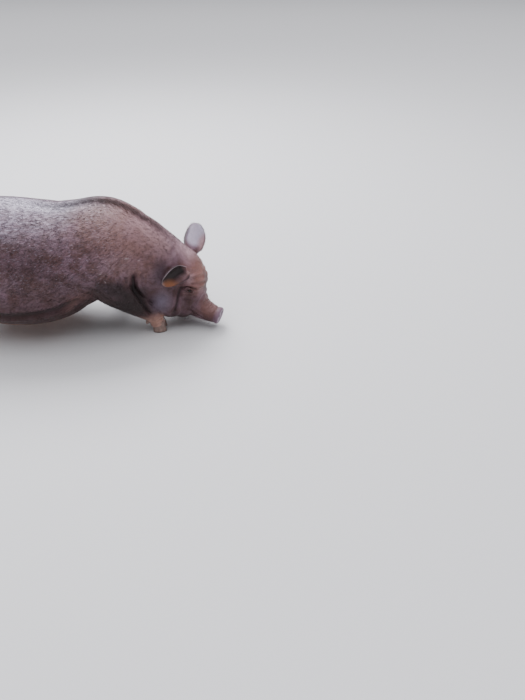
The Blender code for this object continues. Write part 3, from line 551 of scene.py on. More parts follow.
def on_ear(sizes, share, side, layer):
    """A place of the ear: share from root to tip, side from rim to rim, layer 0 in the cup, 1 on its back."""
    root, tip = HEAD @ Vector(sizes[0]), HEAD @ Vector(sizes[1])
    opening, bow = HEAD.to_3x3() @ Vector(sizes[2]), HEAD.to_3x3() @ Vector(sizes[3])
    along = (tip - root).normalized()
    opens = (opening - along * opening.dot(along)).normalized()
    across = opens.cross(along)
    length = (tip - root).length + EAR_SUNK
    width, cup = between(sizes[4], share)
    width *= (1.0 + 0.018 * math.sin(9.0 * share + 2.0 * side)) * math.sqrt(1.0 - 0.94 * share**9)
    radius = EAR_HALF_WIDTH * width / cup
    wall = EAR_WALL * (1.0 - 0.62 * max(abs(side) ** 4, share**4))
    rib = EAR_RIB * math.cos(11.0 * side) * math.sin(math.pi * min(share * 1.2, 1.0)) * (1.0 - layer)
    away = across * math.sin(side * cup) - opens * math.cos(side * cup)
    back = EAR_CURL * EAR_HALF_WIDTH * share**2
    middle = root + along * (share * length - EAR_SUNK) + opens * (radius - back)
    return middle + bow * math.sin(math.pi * share) + away * (radius + (layer - 0.5) * wall - rib)


def ear(sizes):
    """A cupped ear, ribbed inside, with a wavy rim."""
    bm = bmesh.new()
    bmesh.ops.create_grid(bm, x_segments=34, y_segments=36, size=1.0)
    outer = bmesh.ops.extrude_face_region(bm, geom=bm.faces)["geom"]
    bmesh.ops.translate(bm, vec=(0, 0, 1), verts=[v for v in outer if isinstance(v, bmesh.types.BMVert)])
    for vertex in bm.verts:
        vertex.co = on_ear(sizes, (vertex.co.x + 1) / 2, vertex.co.y, vertex.co.z)
    return shape("ear", bm)


added = [ear(sizes) for sizes in EARS]
removed = []


# Eyelids: thick fleshy lids in a low mound, nearly shut, with a narrow slit that the eye looks out of.
# The socket behind them is hollow, and holds the ball of the eye.

EYE_PLACE = (0.076, 0.083, -0.099)
EYE_RADIUS = 0.0110
SOCKET_GAP, BALL_GAP = 0.0004, 0.0001  # how far the socket is wider, and the ball narrower, than that
LIDS = (0.0205, 0.0118, 0.0080)  # half length, half height, and how far they stand out of the face
SLIT = (0.0128, 0.0031)  # half length and half height
skin_tree = BVHTree.FromObject(skin, bpy.context.evaluated_depsgraph_get())


def ball(name, centre, turn, radii, fineness=4):
    """An egg shape, turned and put in place."""
    bm = bmesh.new()
    bmesh.ops.create_icosphere(bm, subdivisions=fineness, radius=1.0, matrix=Matrix.Diagonal((*radii, 1.0)))
    return shape(name, bm, Matrix.Translation(centre) @ turn)


def on_face(x, y, z):
    """The skin nearest to a place in the head's axes: where it is, and its axes ahead, up and out."""
    at = skin_tree.find_nearest(HEAD @ Vector((x, y, z)))[0]
    out = sum((found[1] for found in skin_tree.find_nearest_range(at, 0.012)), Vector()).normalized()
    ahead = HEAD.to_3x3() @ Vector((1, 0, -0.12))
    ahead = (ahead - out * ahead.dot(out)).normalized()
    return at, Matrix((ahead, out.cross(ahead), out)).transposed().to_4x4()


eye_centres = []
sockets = []
for name, side in (("eye_right", -1), ("eye_left", 1)):
    x, y, z = EYE_PLACE
    at, turn = on_face(x, y * side, z)
    out = turn.to_3x3().col[2]
    low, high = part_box(name)
    centre = (low + high) / 2
    added.append(ball("lids", at, turn, LIDS))
    removed.append(ball("slit", at + out * LIDS[2] * 0.75, turn, (SLIT[0], SLIT[1], LIDS[2]), 3))
    sockets.append(ball("socket", centre, turn, (EYE_RADIUS + SOCKET_GAP,) * 3))
    eye_centres.append((centre, turn))


# Snout: a tough round disc of gristle at the end of the nose, with a rolled rim and two open nostrils, and
# the line of the mouth running back from under it along both cheeks.

DISC_CENTRE = Vector((0.2080, 0.0, -0.1880))
DISC_TURN = math.radians(-8)
# The disc from its back to its face: how far forward, and how wide as a share of its half width and height
DISC_RINGS = (
    (-0.016, 0.86),
    (-0.009, 0.97),
    (-0.003, 1.02),
    (0.002, 1.03),
    (0.006, 0.99),
    (0.0085, 0.92),
    (0.0086, 0.84),
    (0.0074, 0.76),
    (0.0068, 0.55),
    (0.0070, 0.25),
    (0.0070, 0.04),
)
DISC_HALF_WIDTH, DISC_HALF_HEIGHT = 0.0392, 0.0332
NOSTRIL_SIDE, NOSTRIL_HEIGHT = 0.0145, 0.007
NOSTRIL_SIZE = (0.0120, 0.0058, 0.0080)
MOUTH = (
    (0.082, 0.062, -0.178),
    (0.100, 0.056, -0.188),
    (0.125, 0.048, -0.197),
    (0.155, 0.046, -0.205),
    (0.178, 0.041, -0.211),
    (0.190, 0.024, -0.220),
    (0.192, 0.000, -0.224),
)
MOUTH_RADIUS = 0.0028

disc_axes = HEAD @ Matrix.Translation(DISC_CENTRE) @ Matrix.Rotation(DISC_TURN, 4, "Y")
upright = Matrix.Rotation(math.radians(90), 4, "Y")
disc = bmesh.new()
loops = []
for forward, wide in DISC_RINGS:
    size = Matrix.Diagonal((DISC_HALF_HEIGHT * wide, DISC_HALF_WIDTH * wide, 1.0, 1.0))
    loops.append(ring(disc, 48, Matrix.Translation((forward, 0, 0)) @ upright @ size))
lofted(disc, loops)
added.append(shape("snout disc", disc, disc_axes))
for side in (-1, 1):
    place = disc_axes @ Vector((0.006, NOSTRIL_SIDE * side, NOSTRIL_HEIGHT))
    removed.append(ball("nostril", place, disc_axes.to_3x3().to_4x4(), NOSTRIL_SIZE, 3))

mouth_line = MOUTH + mirrored(MOUTH)[-2::-1]
count = 4 * (len(mouth_line) - 1)
line = [skin_tree.find_nearest(HEAD @ Vector(between(mouth_line, i / count)))[0] for i in range(count + 1)]
mouth = bmesh.new()
loops = []
for i, place in enumerate(line):
    along = (line[min(i + 1, count)] - line[max(i - 1, 0)]).normalized()
    across = HEAD.to_3x3().col[2].cross(along).normalized()
    radius = MOUTH_RADIUS * min(1.0, 0.30 + min(i, count - i) / 9)
    turn = Matrix((across.cross(along) * radius, across * radius * 1.5, along)).transposed()
    loops.append(ring(mouth, 10, Matrix.Translation(place) @ turn.to_4x4()))
lofted(mouth, loops)
removed.append(shape("mouth", mouth))


# Udder and tail: two rows of six teats hang under the belly, and the tail hangs straight from its root,
# round and tapering, with a switch of bristles at its end.

TEATS_AT = (-0.275, -0.222, -0.168, -0.114, -0.060, -0.004)
TEAT_SIDE = 0.062
# A teat from its root to its tip: how far down along it, and its radius
TEAT_RINGS = (
    (-0.012, 0.0105),
    (-0.003, 0.0095),
    (0.002, 0.0068),
    (0.009, 0.0058),
    (0.0125, 0.0048),
    (0.0140, 0.0022),
)
TAIL = (
    ("root", -0.545, 0.000, 0.415, 0.0208),
    ("dock", -0.580, 0.004, 0.380, 0.0146),
    ("middle", -0.588, 0.010, 0.325, 0.0102),
    ("lower", -0.583, 0.012, 0.270, 0.0076),
    ("tip", -0.580, 0.008, 0.225, 0.0046),
)

for x in TEATS_AT:
    for y in (TEAT_SIDE, -TEAT_SIDE):
        at, normal, _, _ = skin_tree.ray_cast(STAND @ Vector((x, y, 0.0)), Vector((0, 0, 1)))
        down = (normal + Vector((0, 0, -1))).normalized()
        teat = bmesh.new()
        limb(teat, [(*(at + down * along), wide, wide) for along, wide in TEAT_RINGS], steps=2, sides=14)
        added.append(shape("teat", teat))
tail = bmesh.new()
limb(tail, [(x, y, z, radius, radius) for _, x, y, z, radius in TAIL], steps=10, sides=24)
added.append(shape("tail", tail, STAND))


# The skin: tough, thick and dark grey brown with a mauve cast, paler where the light coat frosts it and where
# sheen is painted on the back, darker low down where shade is painted, warmer under the belly and on the
# feet. Ears, lids, snout, teats and tail grow out of it without a seam.

KEPT_TRIANGLES = 188000  # of the whole skin, after it has been thinned out


def cut(obj, tool, operation):
    """Joins a tool to the object or takes it away, and removes the tool."""
    with_modifiers(obj, ("BOOLEAN", {"operation": operation, "object": tool, "solver": "MANIFOLD"}))
    bpy.data.objects.remove(tool, do_unlink=True)


cut(skin, joined("added", added), "UNION")
cut(skin, joined("removed", removed), "DIFFERENCE")
cut(skin, joined("sockets", sockets), "DIFFERENCE")

# The roots of the ears and the tail are smoothed into the body: place, reach
places, normals = points_of(skin.data)
root_places = [
    (HEAD @ Vector(EARS[0][0]), 0.040),
    (HEAD @ Vector(EARS[1][0]), 0.040),
    (STAND @ Vector((-0.560, 0.0, 0.400)), 0.035),
]
soft = np.zeros(len(places))
for centre, reach in root_places:
    away = np.linalg.norm(places - np.array(centre), axis=1)
    soft = np.maximum(soft, np.clip(1.6 - 1.6 * away / reach, 0.0, 1.0))
group = skin.vertex_groups.new(name="soft")
for i in np.flatnonzero(soft > 0.01):
    group.add([int(i)], float(soft[i]), "REPLACE")
with_modifiers(skin, ("SMOOTH", {"factor": 0.5, "iterations": 8, "vertex_group": "soft"}))
skin.vertex_groups.clear()

# Fewer faces on the trunk, so that the head, ears and feet keep theirs
places, normals = points_of(skin.data)
head_places = in_head(places)
fine = np.clip((head_places[:, 0] + 0.09) / 0.06, 0.0, 1.0)
lower_leg = np.clip((0.22 - places[:, 2]) / 0.06, 0.0, 0.6) * (np.abs(places[:, 1]) > 0.075)
fine = np.maximum(fine, lower_leg)
group = skin.vertex_groups.new(name="fine")
for level in range(11):
    chosen = np.flatnonzero(np.round(fine * 10) == level)
    group.add([int(i) for i in chosen], 1.0 - 0.09 * level, "REPLACE")
triangles = sum(len(face.vertices) - 2 for face in skin.data.polygons)
share = KEPT_TRIANGLES / triangles
with_modifiers(
    skin,
    ("TRIANGULATE", {}),
    ("DECIMATE", {"ratio": share, "vertex_group": "fine", "vertex_group_factor": 0.0008}),
)
skin.vertex_groups.clear()
skin.data.shade_smooth()


def feed(tree, socket, value):
    """Links a socket to another one, or sets it to a plain value."""
    if isinstance(value, bpy.types.NodeSocket):
        tree.links.new(value, socket)
    else:
        socket.default_value = value


def node(tree, kind, sockets=None, **settings):
    """A node of the tree, with its settings made and its sockets fed."""
    made = tree.nodes.new("ShaderNode" + kind)
    for name, value in settings.items():
        setattr(made, name, value)
    for name, value in (sockets or {}).items():
        feed(tree, made.inputs[name], value)
    return made


def mixed(tree, share, first, second):
    """The colour between first and second at share. Colours are triples or sockets."""
    sockets = {0: share}
    for place, colour in ((6, first), (7, second)):
        sockets[place] = colour if isinstance(colour, bpy.types.NodeSocket) else (*colour, 1.0)
    return node(tree, "Mix", sockets, data_type="RGBA").outputs[2]


def spread(tree, value, low, high, to_low=0.0, to_high=1.0):
    """A value from low to high turned into one from to_low to to_high, and no further."""
    sockets = {"Value": value, "From Min": low, "From Max": high, "To Min": to_low, "To Max": to_high}
    return node(tree, "MapRange", sockets, interpolation_type="SMOOTHSTEP").outputs[0]


def times(tree, first, second):
    return node(tree, "Math", {0: first, 1: second}, operation="MULTIPLY").outputs[0]


def noise(tree, places, scale, detail=3.0, rough=0.55, stretch=None):
    """A cloudy value near 0.5, finer with scale, drawn out by stretch."""
    if stretch:
        places = node(tree, "Mapping", {"Vector": places, "Scale": stretch}).outputs[0]
    sockets = {"Vector": places, "Scale": scale, "Detail": detail, "Roughness": rough}
    return node(tree, "TexNoise", sockets).outputs[0]


def spot(tree, places, centre, radii, turn, softness):
    """1 inside an egg-shaped patch of the body and 0 outside it, with a soft edge."""
    sockets = {"Vector": places, "Location": centre, "Rotation": turn, "Scale": radii}
    inside = node(tree, "Mapping", sockets, vector_type="TEXTURE").outputs[0]
    away = node(tree, "VectorMath", {0: inside}, operation="LENGTH").outputs["Value"]
    return spread(tree, away, 1.0, 1.0 - softness)


# Colours of the skin
GREY_BROWN = (0.110, 0.052, 0.052)
DARK_BROWN = (0.038, 0.015, 0.014)
MAUVE = (0.225, 0.134, 0.172)
FROST_AND_SHEEN = (0.620, 0.560, 0.690)
RIDGE_HIGHLIGHT = (0.820, 0.780, 0.900)
LILAC_AND_SHEEN = (0.300, 0.230, 0.290)
PALE_MAUVE_AND_SHEEN = (0.400, 0.250, 0.270)
ROSY_BROWN_AND_SHEEN = (0.385, 0.215, 0.195)
FACE_BROWN = (0.370, 0.175, 0.135)
JOWL_GREY = (0.180, 0.144, 0.195)
SNOUT_BROWN = (0.180, 0.086, 0.074)
SLATE = (0.052, 0.038, 0.056)
SHADE_BROWN_BLACK = (0.011, 0.006, 0.006)
FLESH = (0.610, 0.345, 0.270)
DUSKY_PINK = (0.520, 0.310, 0.320)
DISC_GREY = (0.230, 0.150, 0.215)
NEARLY_BLACK = (0.008, 0.004, 0.004)
SCAR = (0.520, 0.420, 0.430)
EAR_GLOW_ORANGE = (0.230, 0.088, 0.040)
EAR_RIM_HIGHLIGHT = (0.480, 0.400, 0.430)

ONE, BOTH = (1,), (1, -1)
# Patches of colour, each over the ones before it: name, one place or both sides, centre, radii, turn about Y
# in degrees, softness of the edge, strength, colour. Those of the head are in its own axes
BODY_PATCHES = (
    # The shoulder's rosy brown and the nape's mauve are the skin's own, made paler as painted sheen from
    # above
    ("shoulder", ONE, (0.22, -0.05, 0.42), (0.24, 0.26, 0.20), 0, 0.7, 0.54, ROSY_BROWN_AND_SHEEN),
    ("nape", ONE, (0.36, -0.06, 0.435), (0.16, 0.13, 0.12), 35, 0.8, 0.55, PALE_MAUVE_AND_SHEEN),
    # Painted shade: the upper arm and forearm darkened nearly black
    ("upper arm", BOTH, (0.180, 0.20, 0.255), (0.110, 0.08, 0.070), 0, 0.7, 0.80, SHADE_BROWN_BLACK),
    ("arm", BOTH, (0.205, 0.15, 0.175), (0.125, 0.11, 0.105), 0, 0.6, 0.92, SHADE_BROWN_BLACK),
    ("armpit", BOTH, (0.030, 0.20, 0.212), (0.100, 0.08, 0.042), -39, 0.9, 0.65, SNOUT_BROWN),
    ("udder", ONE, (-0.190, 0.0, 0.070), (0.27, 0.16, 0.05), 0, 0.7, 0.45, DUSKY_PINK),
    ("hams", ONE, (-0.56, 0.0, 0.30), (0.07, 0.07, 0.13), 0, 0.8, 0.30, DUSKY_PINK),
)
HEAD_PATCHES = (
    ("face", ONE, (0.060, 0.0, -0.060), (0.120, 0.130, 0.110), 0, 0.9, 0.78, FACE_BROWN),
    ("muzzle", ONE, (0.150, 0.0, -0.170), (0.080, 0.070, 0.065), 0, 0.6, 0.80, SNOUT_BROWN),
    ("snout disc", ONE, (0.214, 0.0, -0.186), (0.032, 0.060, 0.050), 0, 0.6, 0.90, DISC_GREY),
    # The crown's and brow's mauve is the skin's own, made paler as painted sheen from above
    ("crown", ONE, (-0.010, 0.0, 0.020), (0.080, 0.090, 0.060), 0, 0.8, 0.70, PALE_MAUVE_AND_SHEEN),
    # Painted shade: the bridge between the eyes darkened
    ("bridge", ONE, (0.082, 0.004, -0.086), (0.064, 0.034, 0.068), 0, 0.6, 0.72, DARK_BROWN),
    ("jowl", BOTH, (-0.004, 0.120, -0.178), (0.058, 0.056, 0.082), 0, 0.9, 0.90, JOWL_GREY),
    ("brow", BOTH, (0.054, 0.077, -0.055), (0.034, 0.040, 0.028), 0, 0.8, 0.70, PALE_MAUVE_AND_SHEEN),
    # Painted shade: the underside of the jaw darkened
    ("under the jaw", BOTH, (0.066, 0.070, -0.240), (0.112, 0.070, 0.062), 0, 0.7, 0.88, DARK_BROWN),
    ("cheek", BOTH, (0.088, 0.080, -0.150), (0.048, 0.046, 0.052), 0, 0.8, 0.68, DARK_BROWN),
    ("lids", BOTH, (0.076, 0.092, -0.100), (0.036, 0.030, 0.020), 0, 0.8, 0.80, DARK_BROWN),
    # Painted shade: the nostrils darkened nearly black
    ("nostril", BOTH, (0.216, 0.0145, -0.180), (0.012, 0.0075, 0.0095), 0, 0.5, 1.0, NEARLY_BLACK),
    ("behind the ear", BOTH, (-0.060, 0.115, -0.078), (0.056, 0.045, 0.078), 0, 0.6, 0.90, SLATE),
    # Painted sheen: the far ear's back painted pale where light catches it
    ("far ear's back sheen", ONE, (-0.022, 0.118, 0.032), (0.055, 0.060, 0.060), 0, 0.4, 0.80, FROST_AND_SHEEN),
    ("far ear's front edge", ONE, (0.016, 0.118, 0.014), (0.032, 0.045, 0.060), 0, 0.7, 0.85, DUSKY_PINK),
    ("far ear's rear edge", ONE, (-0.066, 0.110, 0.010), (0.020, 0.050, 0.060), 0, 0.8, 0.80, SLATE),
)
# Small scars on shoulder and neck: centre, radii, turn about Y in degrees
SCARS = (
    ((0.236, -0.164, 0.358), (0.013, 0.02, 0.0046), 20),
    ((0.278, -0.154, 0.342), (0.008, 0.02, 0.0034), 10),
    ((0.140, -0.204, 0.321), (0.009, 0.02, 0.0040), -20),
    ((0.152, -0.204, 0.288), (0.003, 0.02, 0.0080), -30),
)


def patched(tree, colour, places, axes, patches):
    """The colour with patches laid over it, given in axes of their own."""
    for _, sides, (x, y, z), radii, degrees, softness, strength, paint in patches:
        turn = axes @ Matrix.Rotation(math.radians(degrees), 4, "Y")
        for side in sides:
            inside = spot(tree, places, axes @ Vector((x, y * side, z)), radii, turn.to_euler(), softness)
            colour = mixed(tree, times(tree, inside, strength), colour, paint)
    return colour


def markings():
    """The colours that skin and coat share, painted sheen and painted shade among them, as a node group."""
    tree = bpy.data.node_groups.new("sow markings and painted light", "ShaderNodeTree")
    tree.interface.new_socket(name="Colour", in_out="OUTPUT", socket_type="NodeSocketColor")
    places = node(tree, "TexCoord").outputs["Object"]
    broad = noise(tree, places, 5.0, 4.0)
    blotches = noise(tree, places, 19.0, 5.0, 0.62)
    streaks = noise(tree, places, 1.0, 4.0, 0.65, (26.0, 150.0, 110.0))
    apart = node(tree, "SeparateXYZ", {0: places})
    length, height = apart.outputs["X"], apart.outputs["Z"]
    aside = node(tree, "Math", {0: apart.outputs["Y"]}, operation="ABSOLUTE").outputs[0]

    # The body's patches have wavy edges
    cloud = node(tree, "TexNoise", {"Vector": places, "Scale": 11.0, "Detail": 4.0}).outputs["Color"]
    shift = node(tree, "VectorMath", {0: cloud, 1: (0.5, 0.5, 0.5)}, operation="SUBTRACT").outputs[0]
    sockets = {0: shift, 1: (0.12, 0.12, 0.12), 2: places}
    uneven = node(tree, "VectorMath", sockets, operation="MULTIPLY_ADD").outputs[0]

    # Grey brown and mauve blotches, with painted shade darkening the trunk low down
    colour = mixed(tree, spread(tree, blotches, 0.36, 0.66), GREY_BROWN, MAUVE)
    colour = mixed(tree, spread(tree, broad, 0.42, 0.62, 0.0, 0.45), colour, DARK_BROWN)
    on_trunk = spread(tree, length, 0.36, 0.24)
    painted_low_shade = times(tree, spread(tree, height, 0.340, 0.140, 0.0, 0.93), on_trunk)
    colour = mixed(tree, painted_low_shade, colour, DARK_BROWN)

    # The frosted saddle, its lilac and pale frost partly painted sheen, with a painted highlight along the
    # ridge
    saddle = spot(tree, uneven, (-0.20, -0.02, 0.56), (0.38, 0.23, 0.25), (0, 0, 0), 0.75)
    colour = mixed(tree, times(tree, saddle, 0.64), colour, LILAC_AND_SHEEN)
    frost_and_sheen = times(tree, saddle, spread(tree, streaks, 0.44, 0.66, 0.06, 0.66))
    colour = mixed(tree, frost_and_sheen, colour, FROST_AND_SHEEN)
    # Painted highlight: near white along the top of the ridge, where the light catches it
    ridge = spread(tree, height, 0.440, 0.500)
    for value, none_at, full_at in ((length, 0.20, 0.05), (aside, 0.080, 0.010), (length, -0.44, -0.20)):
        ridge = times(tree, ridge, spread(tree, value, none_at, full_at))
    colour = mixed(tree, times(tree, ridge, 0.62), colour, RIDGE_HIGHLIGHT)

    colour = patched(tree, colour, uneven, Matrix.Identity(4), BODY_PATCHES)
    colour = patched(tree, colour, places, HEAD, HEAD_PATCHES)
    feet = times(tree, spread(tree, height, 0.116, 0.058), spread(tree, length, 0.352, 0.336))
    colour = mixed(tree, times(tree, feet, 0.85), colour, FLESH)
    for centre, radii, degrees in SCARS:
        mark = spot(tree, places, centre, radii, (0, math.radians(degrees), 0), 0.95)
        mark = times(tree, mark, spread(tree, streaks, 0.38, 0.55, 0.35, 1.0))
        colour = mixed(tree, times(tree, mark, 0.75), colour, SCAR)
    result = tree.nodes.new("NodeGroupOutput")
    tree.links.new(colour, result.inputs[0])
    return tree


MARKINGS = markings()


def material(name, roughness, **values):
    """A material with its tree and shader, whose sockets are set to values."""
    made = bpy.data.materials.new(name)
    made.use_nodes = True
    shader = made.node_tree.nodes["Principled BSDF"]
    shader.inputs["Roughness"].default_value = roughness
    for socket, value in values.items():
        shader.inputs[socket.replace("_", " ")].default_value = value
    return made, made.node_tree, shader


def marked_colour(tree):
    """The markings' colour."""
    return node(tree, "Group", node_tree=MARKINGS).outputs[0]


def painted(tree, name):
    """The value that the mesh holds under a name."""
    return node(tree, "Attribute", attribute_name=name).outputs["Fac"]


def bumped(tree, shader, height, distance, strength, under=None):
    sockets = {"Height": height, "Distance": distance, "Strength": strength}
    if under is not None:
        sockets["Normal"] = under
    made = node(tree, "Bump", sockets)
    tree.links.new(made.outputs[0], shader.inputs["Normal"])
    return made.outputs[0]


def skin_finish():
    """Markings, painted shade in the ears' cups and painted highlight on their rims, painted light through
    the ears, painted shade in the folds' bottoms, pale specks, and a grainy surface.
    """
    values = {"Specular_IOR_Level": 0.28, "Sheen_Weight": 0.06, "Sheen_Roughness": 0.40}
    made, tree, shader = material("sow skin", 0.45, **values)
    places = node(tree, "TexCoord").outputs["Object"]
    # Painted shade and painted light in the ears: nearly black deep in the cups, orange towards the lower
    # tips where light comes through the thin skin
    inner = mixed(tree, spread(tree, painted(tree, "ear glow"), 0.05, 0.95), NEARLY_BLACK, EAR_GLOW_ORANGE)
    colour = mixed(tree, painted(tree, "ear cup"), marked_colour(tree), inner)
    # Painted highlight: pale along the ears' upper rims and tips
    colour = mixed(tree, times(tree, painted(tree, "ear rim highlight"), 0.75), colour, EAR_RIM_HIGHLIGHT)
    # Painted shade: the bottoms of the folds are darkened nearly black
    colour = mixed(tree, spread(tree, painted(tree, "fold_shade"), 0.0, 1.0, 0.0, 0.85), colour, NEARLY_BLACK)
    speck = spread(tree, noise(tree, places, 1.0, 2.0, 0.5, (90.0, 420.0, 320.0)), 0.57, 0.70)
    apart = node(tree, "SeparateXYZ", {0: places})
    speck = times(tree, speck, spread(tree, apart.outputs["X"], 0.30, 0.18))
    speck = times(tree, speck, spread(tree, apart.outputs["Z"], 0.20, 0.36))
    colour = mixed(tree, times(tree, speck, 0.30), colour, FROST_AND_SHEEN)
    colour = mixed(tree, times(tree, painted(tree, "ridge"), 0.46), colour, DARK_BROWN)
    grain = noise(tree, places, 420.0, 4.0, 0.6)
    colour = mixed(tree, spread(tree, grain, 0.40, 0.62, 0.0, 0.30), colour, DARK_BROWN)
    tree.links.new(colour, shader.inputs["Base Color"])
    sockets = {"Vector": places, "Scale": 330.0}
    cells = node(tree, "TexVoronoi", sockets, feature="DISTANCE_TO_EDGE").outputs[0]
    fine = bumped(tree, shader, spread(tree, cells, 0.0, 0.12), 0.0004, 0.4)
    hair = noise(tree, places, 1.0, 3.0, 0.6, (70.0, 520.0, 420.0))
    flat = bumped(tree, shader, hair, 0.0009, 0.5, fine)
    bumped(tree, shader, noise(tree, places, 85.0, 4.0, 0.55), 0.0010, 0.45, flat)
    rough = spread(tree, noise(tree, places, 60.0, 3.0), 0.35, 0.65, 0.36, 0.52)
    tree.links.new(rough, shader.inputs["Roughness"])
    return made


SKIN = skin_finish()
skin.data.materials.clear()
skin.data.materials.append(SKIN)
places, normals = points_of(skin.data)
_, fold_shade = folds_at(places, folds)
paint = {"fold_shade": np.clip(fold_shade, 0.0, 1.0)}
for name in ("ear cup", "ear rim highlight", "ear glow"):
    paint[name] = np.zeros(len(places))

# The dark line along the ridge of neck and withers, which swings to her right as the neck turns
NECK_FROM = 0.228
NECK_SWING = -0.16
RIDGE_HALF_WIDTH = 0.025
swing = np.minimum(NECK_SWING * (places[:, 0] - AHEAD - NECK_FROM), 0.0)
ridge = np.exp(-(((places[:, 1] - swing) / RIDGE_HALF_WIDTH) ** 2)) * (places[:, 2] > 0.33)
paint["ridge"] = ridge * smooth(places[:, 0], -0.16, 0.08) * smooth(places[:, 0], 0.42, 0.34)

# The ears' cups, painted nearly black as shade; their upper rims, painted pale as highlight; and their lower
# edges, painted orange where light comes through the skin
EAR_SKIN = 0.004  # how near to an ear's surface the skin is the ear's own
EAR_BARE_FROM = 0.12  # share from root to tip


def held(value):
    """The value kept between 0 and 1."""
    return min(max(value, 0.0), 1.0)


ear_places = [
    (which, share / 30, side / 12, layer)
    for which in (0, 1)
    for share in range(31)
    for side in range(-12, 13)
    for layer in (0, 1)
]
ear_tree = KDTree(len(ear_places))
for i, (which, share, side, layer) in enumerate(ear_places):
    ear_tree.insert(on_ear(EARS[which], share, side, layer), i)
ear_tree.balance()
lower_side = []
for sizes in EARS:
    lower_side.append(1.0 if on_ear(sizes, 0.5, 1.0, 0.5).z < on_ear(sizes, 0.5, -1.0, 0.5).z else -1.0)
for i in np.flatnonzero(np.abs(in_head(places)[:, 1]) > 0.070):
    _, nearest, away = ear_tree.find(places[i])
    which, share, side, layer = ear_places[nearest]
    if away < EAR_SKIN and share > EAR_BARE_FROM:
        low = side * lower_side[which]
        turned_in = held((low - 0.25) / 0.4) * held((0.80 - share) / 0.3)
        paint["ear cup"][i] = (1.0 - layer) * held((share - EAR_BARE_FROM) / 0.2) * (1.0 - turned_in)
        tip = 0.5 * max((share - 0.94) / 0.06, 0.0)
        paint["ear rim highlight"][i] = min(max((-low - 0.74) / 0.18, 0.0) + tip, 1.0)
        paint["ear glow"][i] = held(2.6 * share - 1.85 + 0.8 * low) + 0.01
for name, values in paint.items():
    skin.data.attributes.new(name, "FLOAT", "POINT").data.foreach_set("value", values.astype(np.float32))
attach(skin, "root")
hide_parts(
    "torso",
    "neck",
    "head",
    "tail",
    "ear_right",
    "ear_left",
    "foreleg_right",
    "foreleg_left",
    "hindleg_right",
    "hindleg_left",
)


# The coat: short coarse bristles, sparse enough for the skin to show, each growing back along the body.
# Dark ones grow among pale ones, which frost her back and flanks, and both thin out on the belly.


def unit(rows):
    return rows / np.maximum(np.linalg.norm(rows, axis=1), 1e-9)[:, None]


def flattened(lies, outs):
    """Directions laid down on the skin."""
    return unit(lies - outs * np.sum(lies * outs, axis=1)[:, None])


def lie_of_coat(places, outs):
    """Which way bristles lie: back along trunk and neck, up the face, down the legs."""
    turned = np.array(HEAD)[:3, :3]
    on_head = smooth(in_head(places)[:, 0], -0.10, 0.0)[:, None]
    on_leg = (smooth(places[:, 2], 0.26, 0.17) * smooth(np.abs(places[:, 1]), 0.06, 0.09))[:, None]
    sides = smooth(np.abs(places[:, 1]), 0.02, 0.22)[:, None]
    trunk = np.array([-1.0, 0.0, -0.05]) + sides * np.array([0.0, 0.0, -0.40])
    face = turned @ np.array([-1.0, 0.0, -0.25])
    leg = np.array([-0.30, 0.0, -1.0])
    behind = (trunk * (1.0 - on_leg) + leg * on_leg) * (1.0 - on_head)
    return flattened(behind + face * on_head, outs)


def unwrapped(places):
    """Where places lie on a flat plan of the skin: trunk, head and legs, each unrolled about its length."""
    heads = in_head(places)
    u = 0.03 + 0.54 * (places[:, 0] + 0.62) / 1.10
    v = 0.03 + 0.44 * (0.5 + np.arctan2(places[:, 1], places[:, 2] - 0.30) / (2 * math.pi))
    on_head = heads[:, 0] > -0.066
    u[on_head] = 0.62 + 0.34 * (heads[on_head, 0] + 0.10) / 0.34
    around = np.arctan2(heads[:, 1], heads[:, 2] + 0.13) / (2 * math.pi)
    v[on_head] = 0.03 + 0.44 * (0.5 + around[on_head])
    for i, (_, joints, side) in enumerate(LEGS):
        _, foot_x, foot_y, _, _, _ = joints[-1]
        near = (places[:, 2] < 0.24) & (np.abs(places[:, 1] - foot_y * side) < 0.085) & ~on_head
        near &= np.abs(places[:, 0] - foot_x - 0.01) < 0.14
        turn = np.arctan2(places[:, 1] - foot_y * side, places[:, 0] - foot_x) / (2 * math.pi)
        u[near] = 0.03 + 0.24 * i + 0.19 * (0.5 + turn[near])
        v[near] = 0.53 + 0.40 * places[near, 2] / 0.26
    return u, v


triangles = np.empty(len(skin.data.polygons) * 3, np.int32)
skin.data.calc_loop_triangles()
skin.data.loop_triangles.foreach_get("vertices", triangles)
triangles = triangles.reshape(-1, 3)
corners = places[triangles]
face_centres = corners.mean(axis=1)
crossed = np.cross(corners[:, 1] - corners[:, 0], corners[:, 2] - corners[:, 0])
face_areas = np.linalg.norm(crossed, axis=1) / 2

# Bare are the lids, the snout disc and the bottoms of the folds
bare = np.zeros(len(face_centres))
for centre, _ in eye_centres:
    bare = np.maximum(bare, smooth(np.linalg.norm(face_centres - np.array(centre), axis=1), 0.024, 0.016))
face_heads = in_head(face_centres)
bare = np.maximum(bare, smooth(face_heads[:, 0], 0.190, 0.204))
bare = np.maximum(bare, smooth(fold_shade[triangles].mean(axis=1), 0.2, 0.7))
on_ears = paint["ear glow"][triangles].max(axis=1) > 0.0


def roots(count, growth, chance):
    """Places on the skin for bristles, thicker where growth is higher, and the way out of the skin there."""
    weight = face_areas * growth * (1.0 - bare)
    chosen = chance.choice(len(weight), count, p=weight / weight.sum())
    a, b = chance.random((2, count))
    over = a + b > 1.0
    a[over], b[over] = 1.0 - a[over], 1.0 - b[over]
    mix = np.stack([1.0 - a - b, a, b], axis=1)[:, :, None]
    at = (places[triangles[chosen]] * mix).sum(axis=1)
    out = unit((normals[triangles[chosen]] * mix).sum(axis=1))
    return at, out


ABOVE_FLOOR = 0.0012  # least height of a bristle's tip
PATCH = 0.003  # side of a bristle's patch on the bake's map
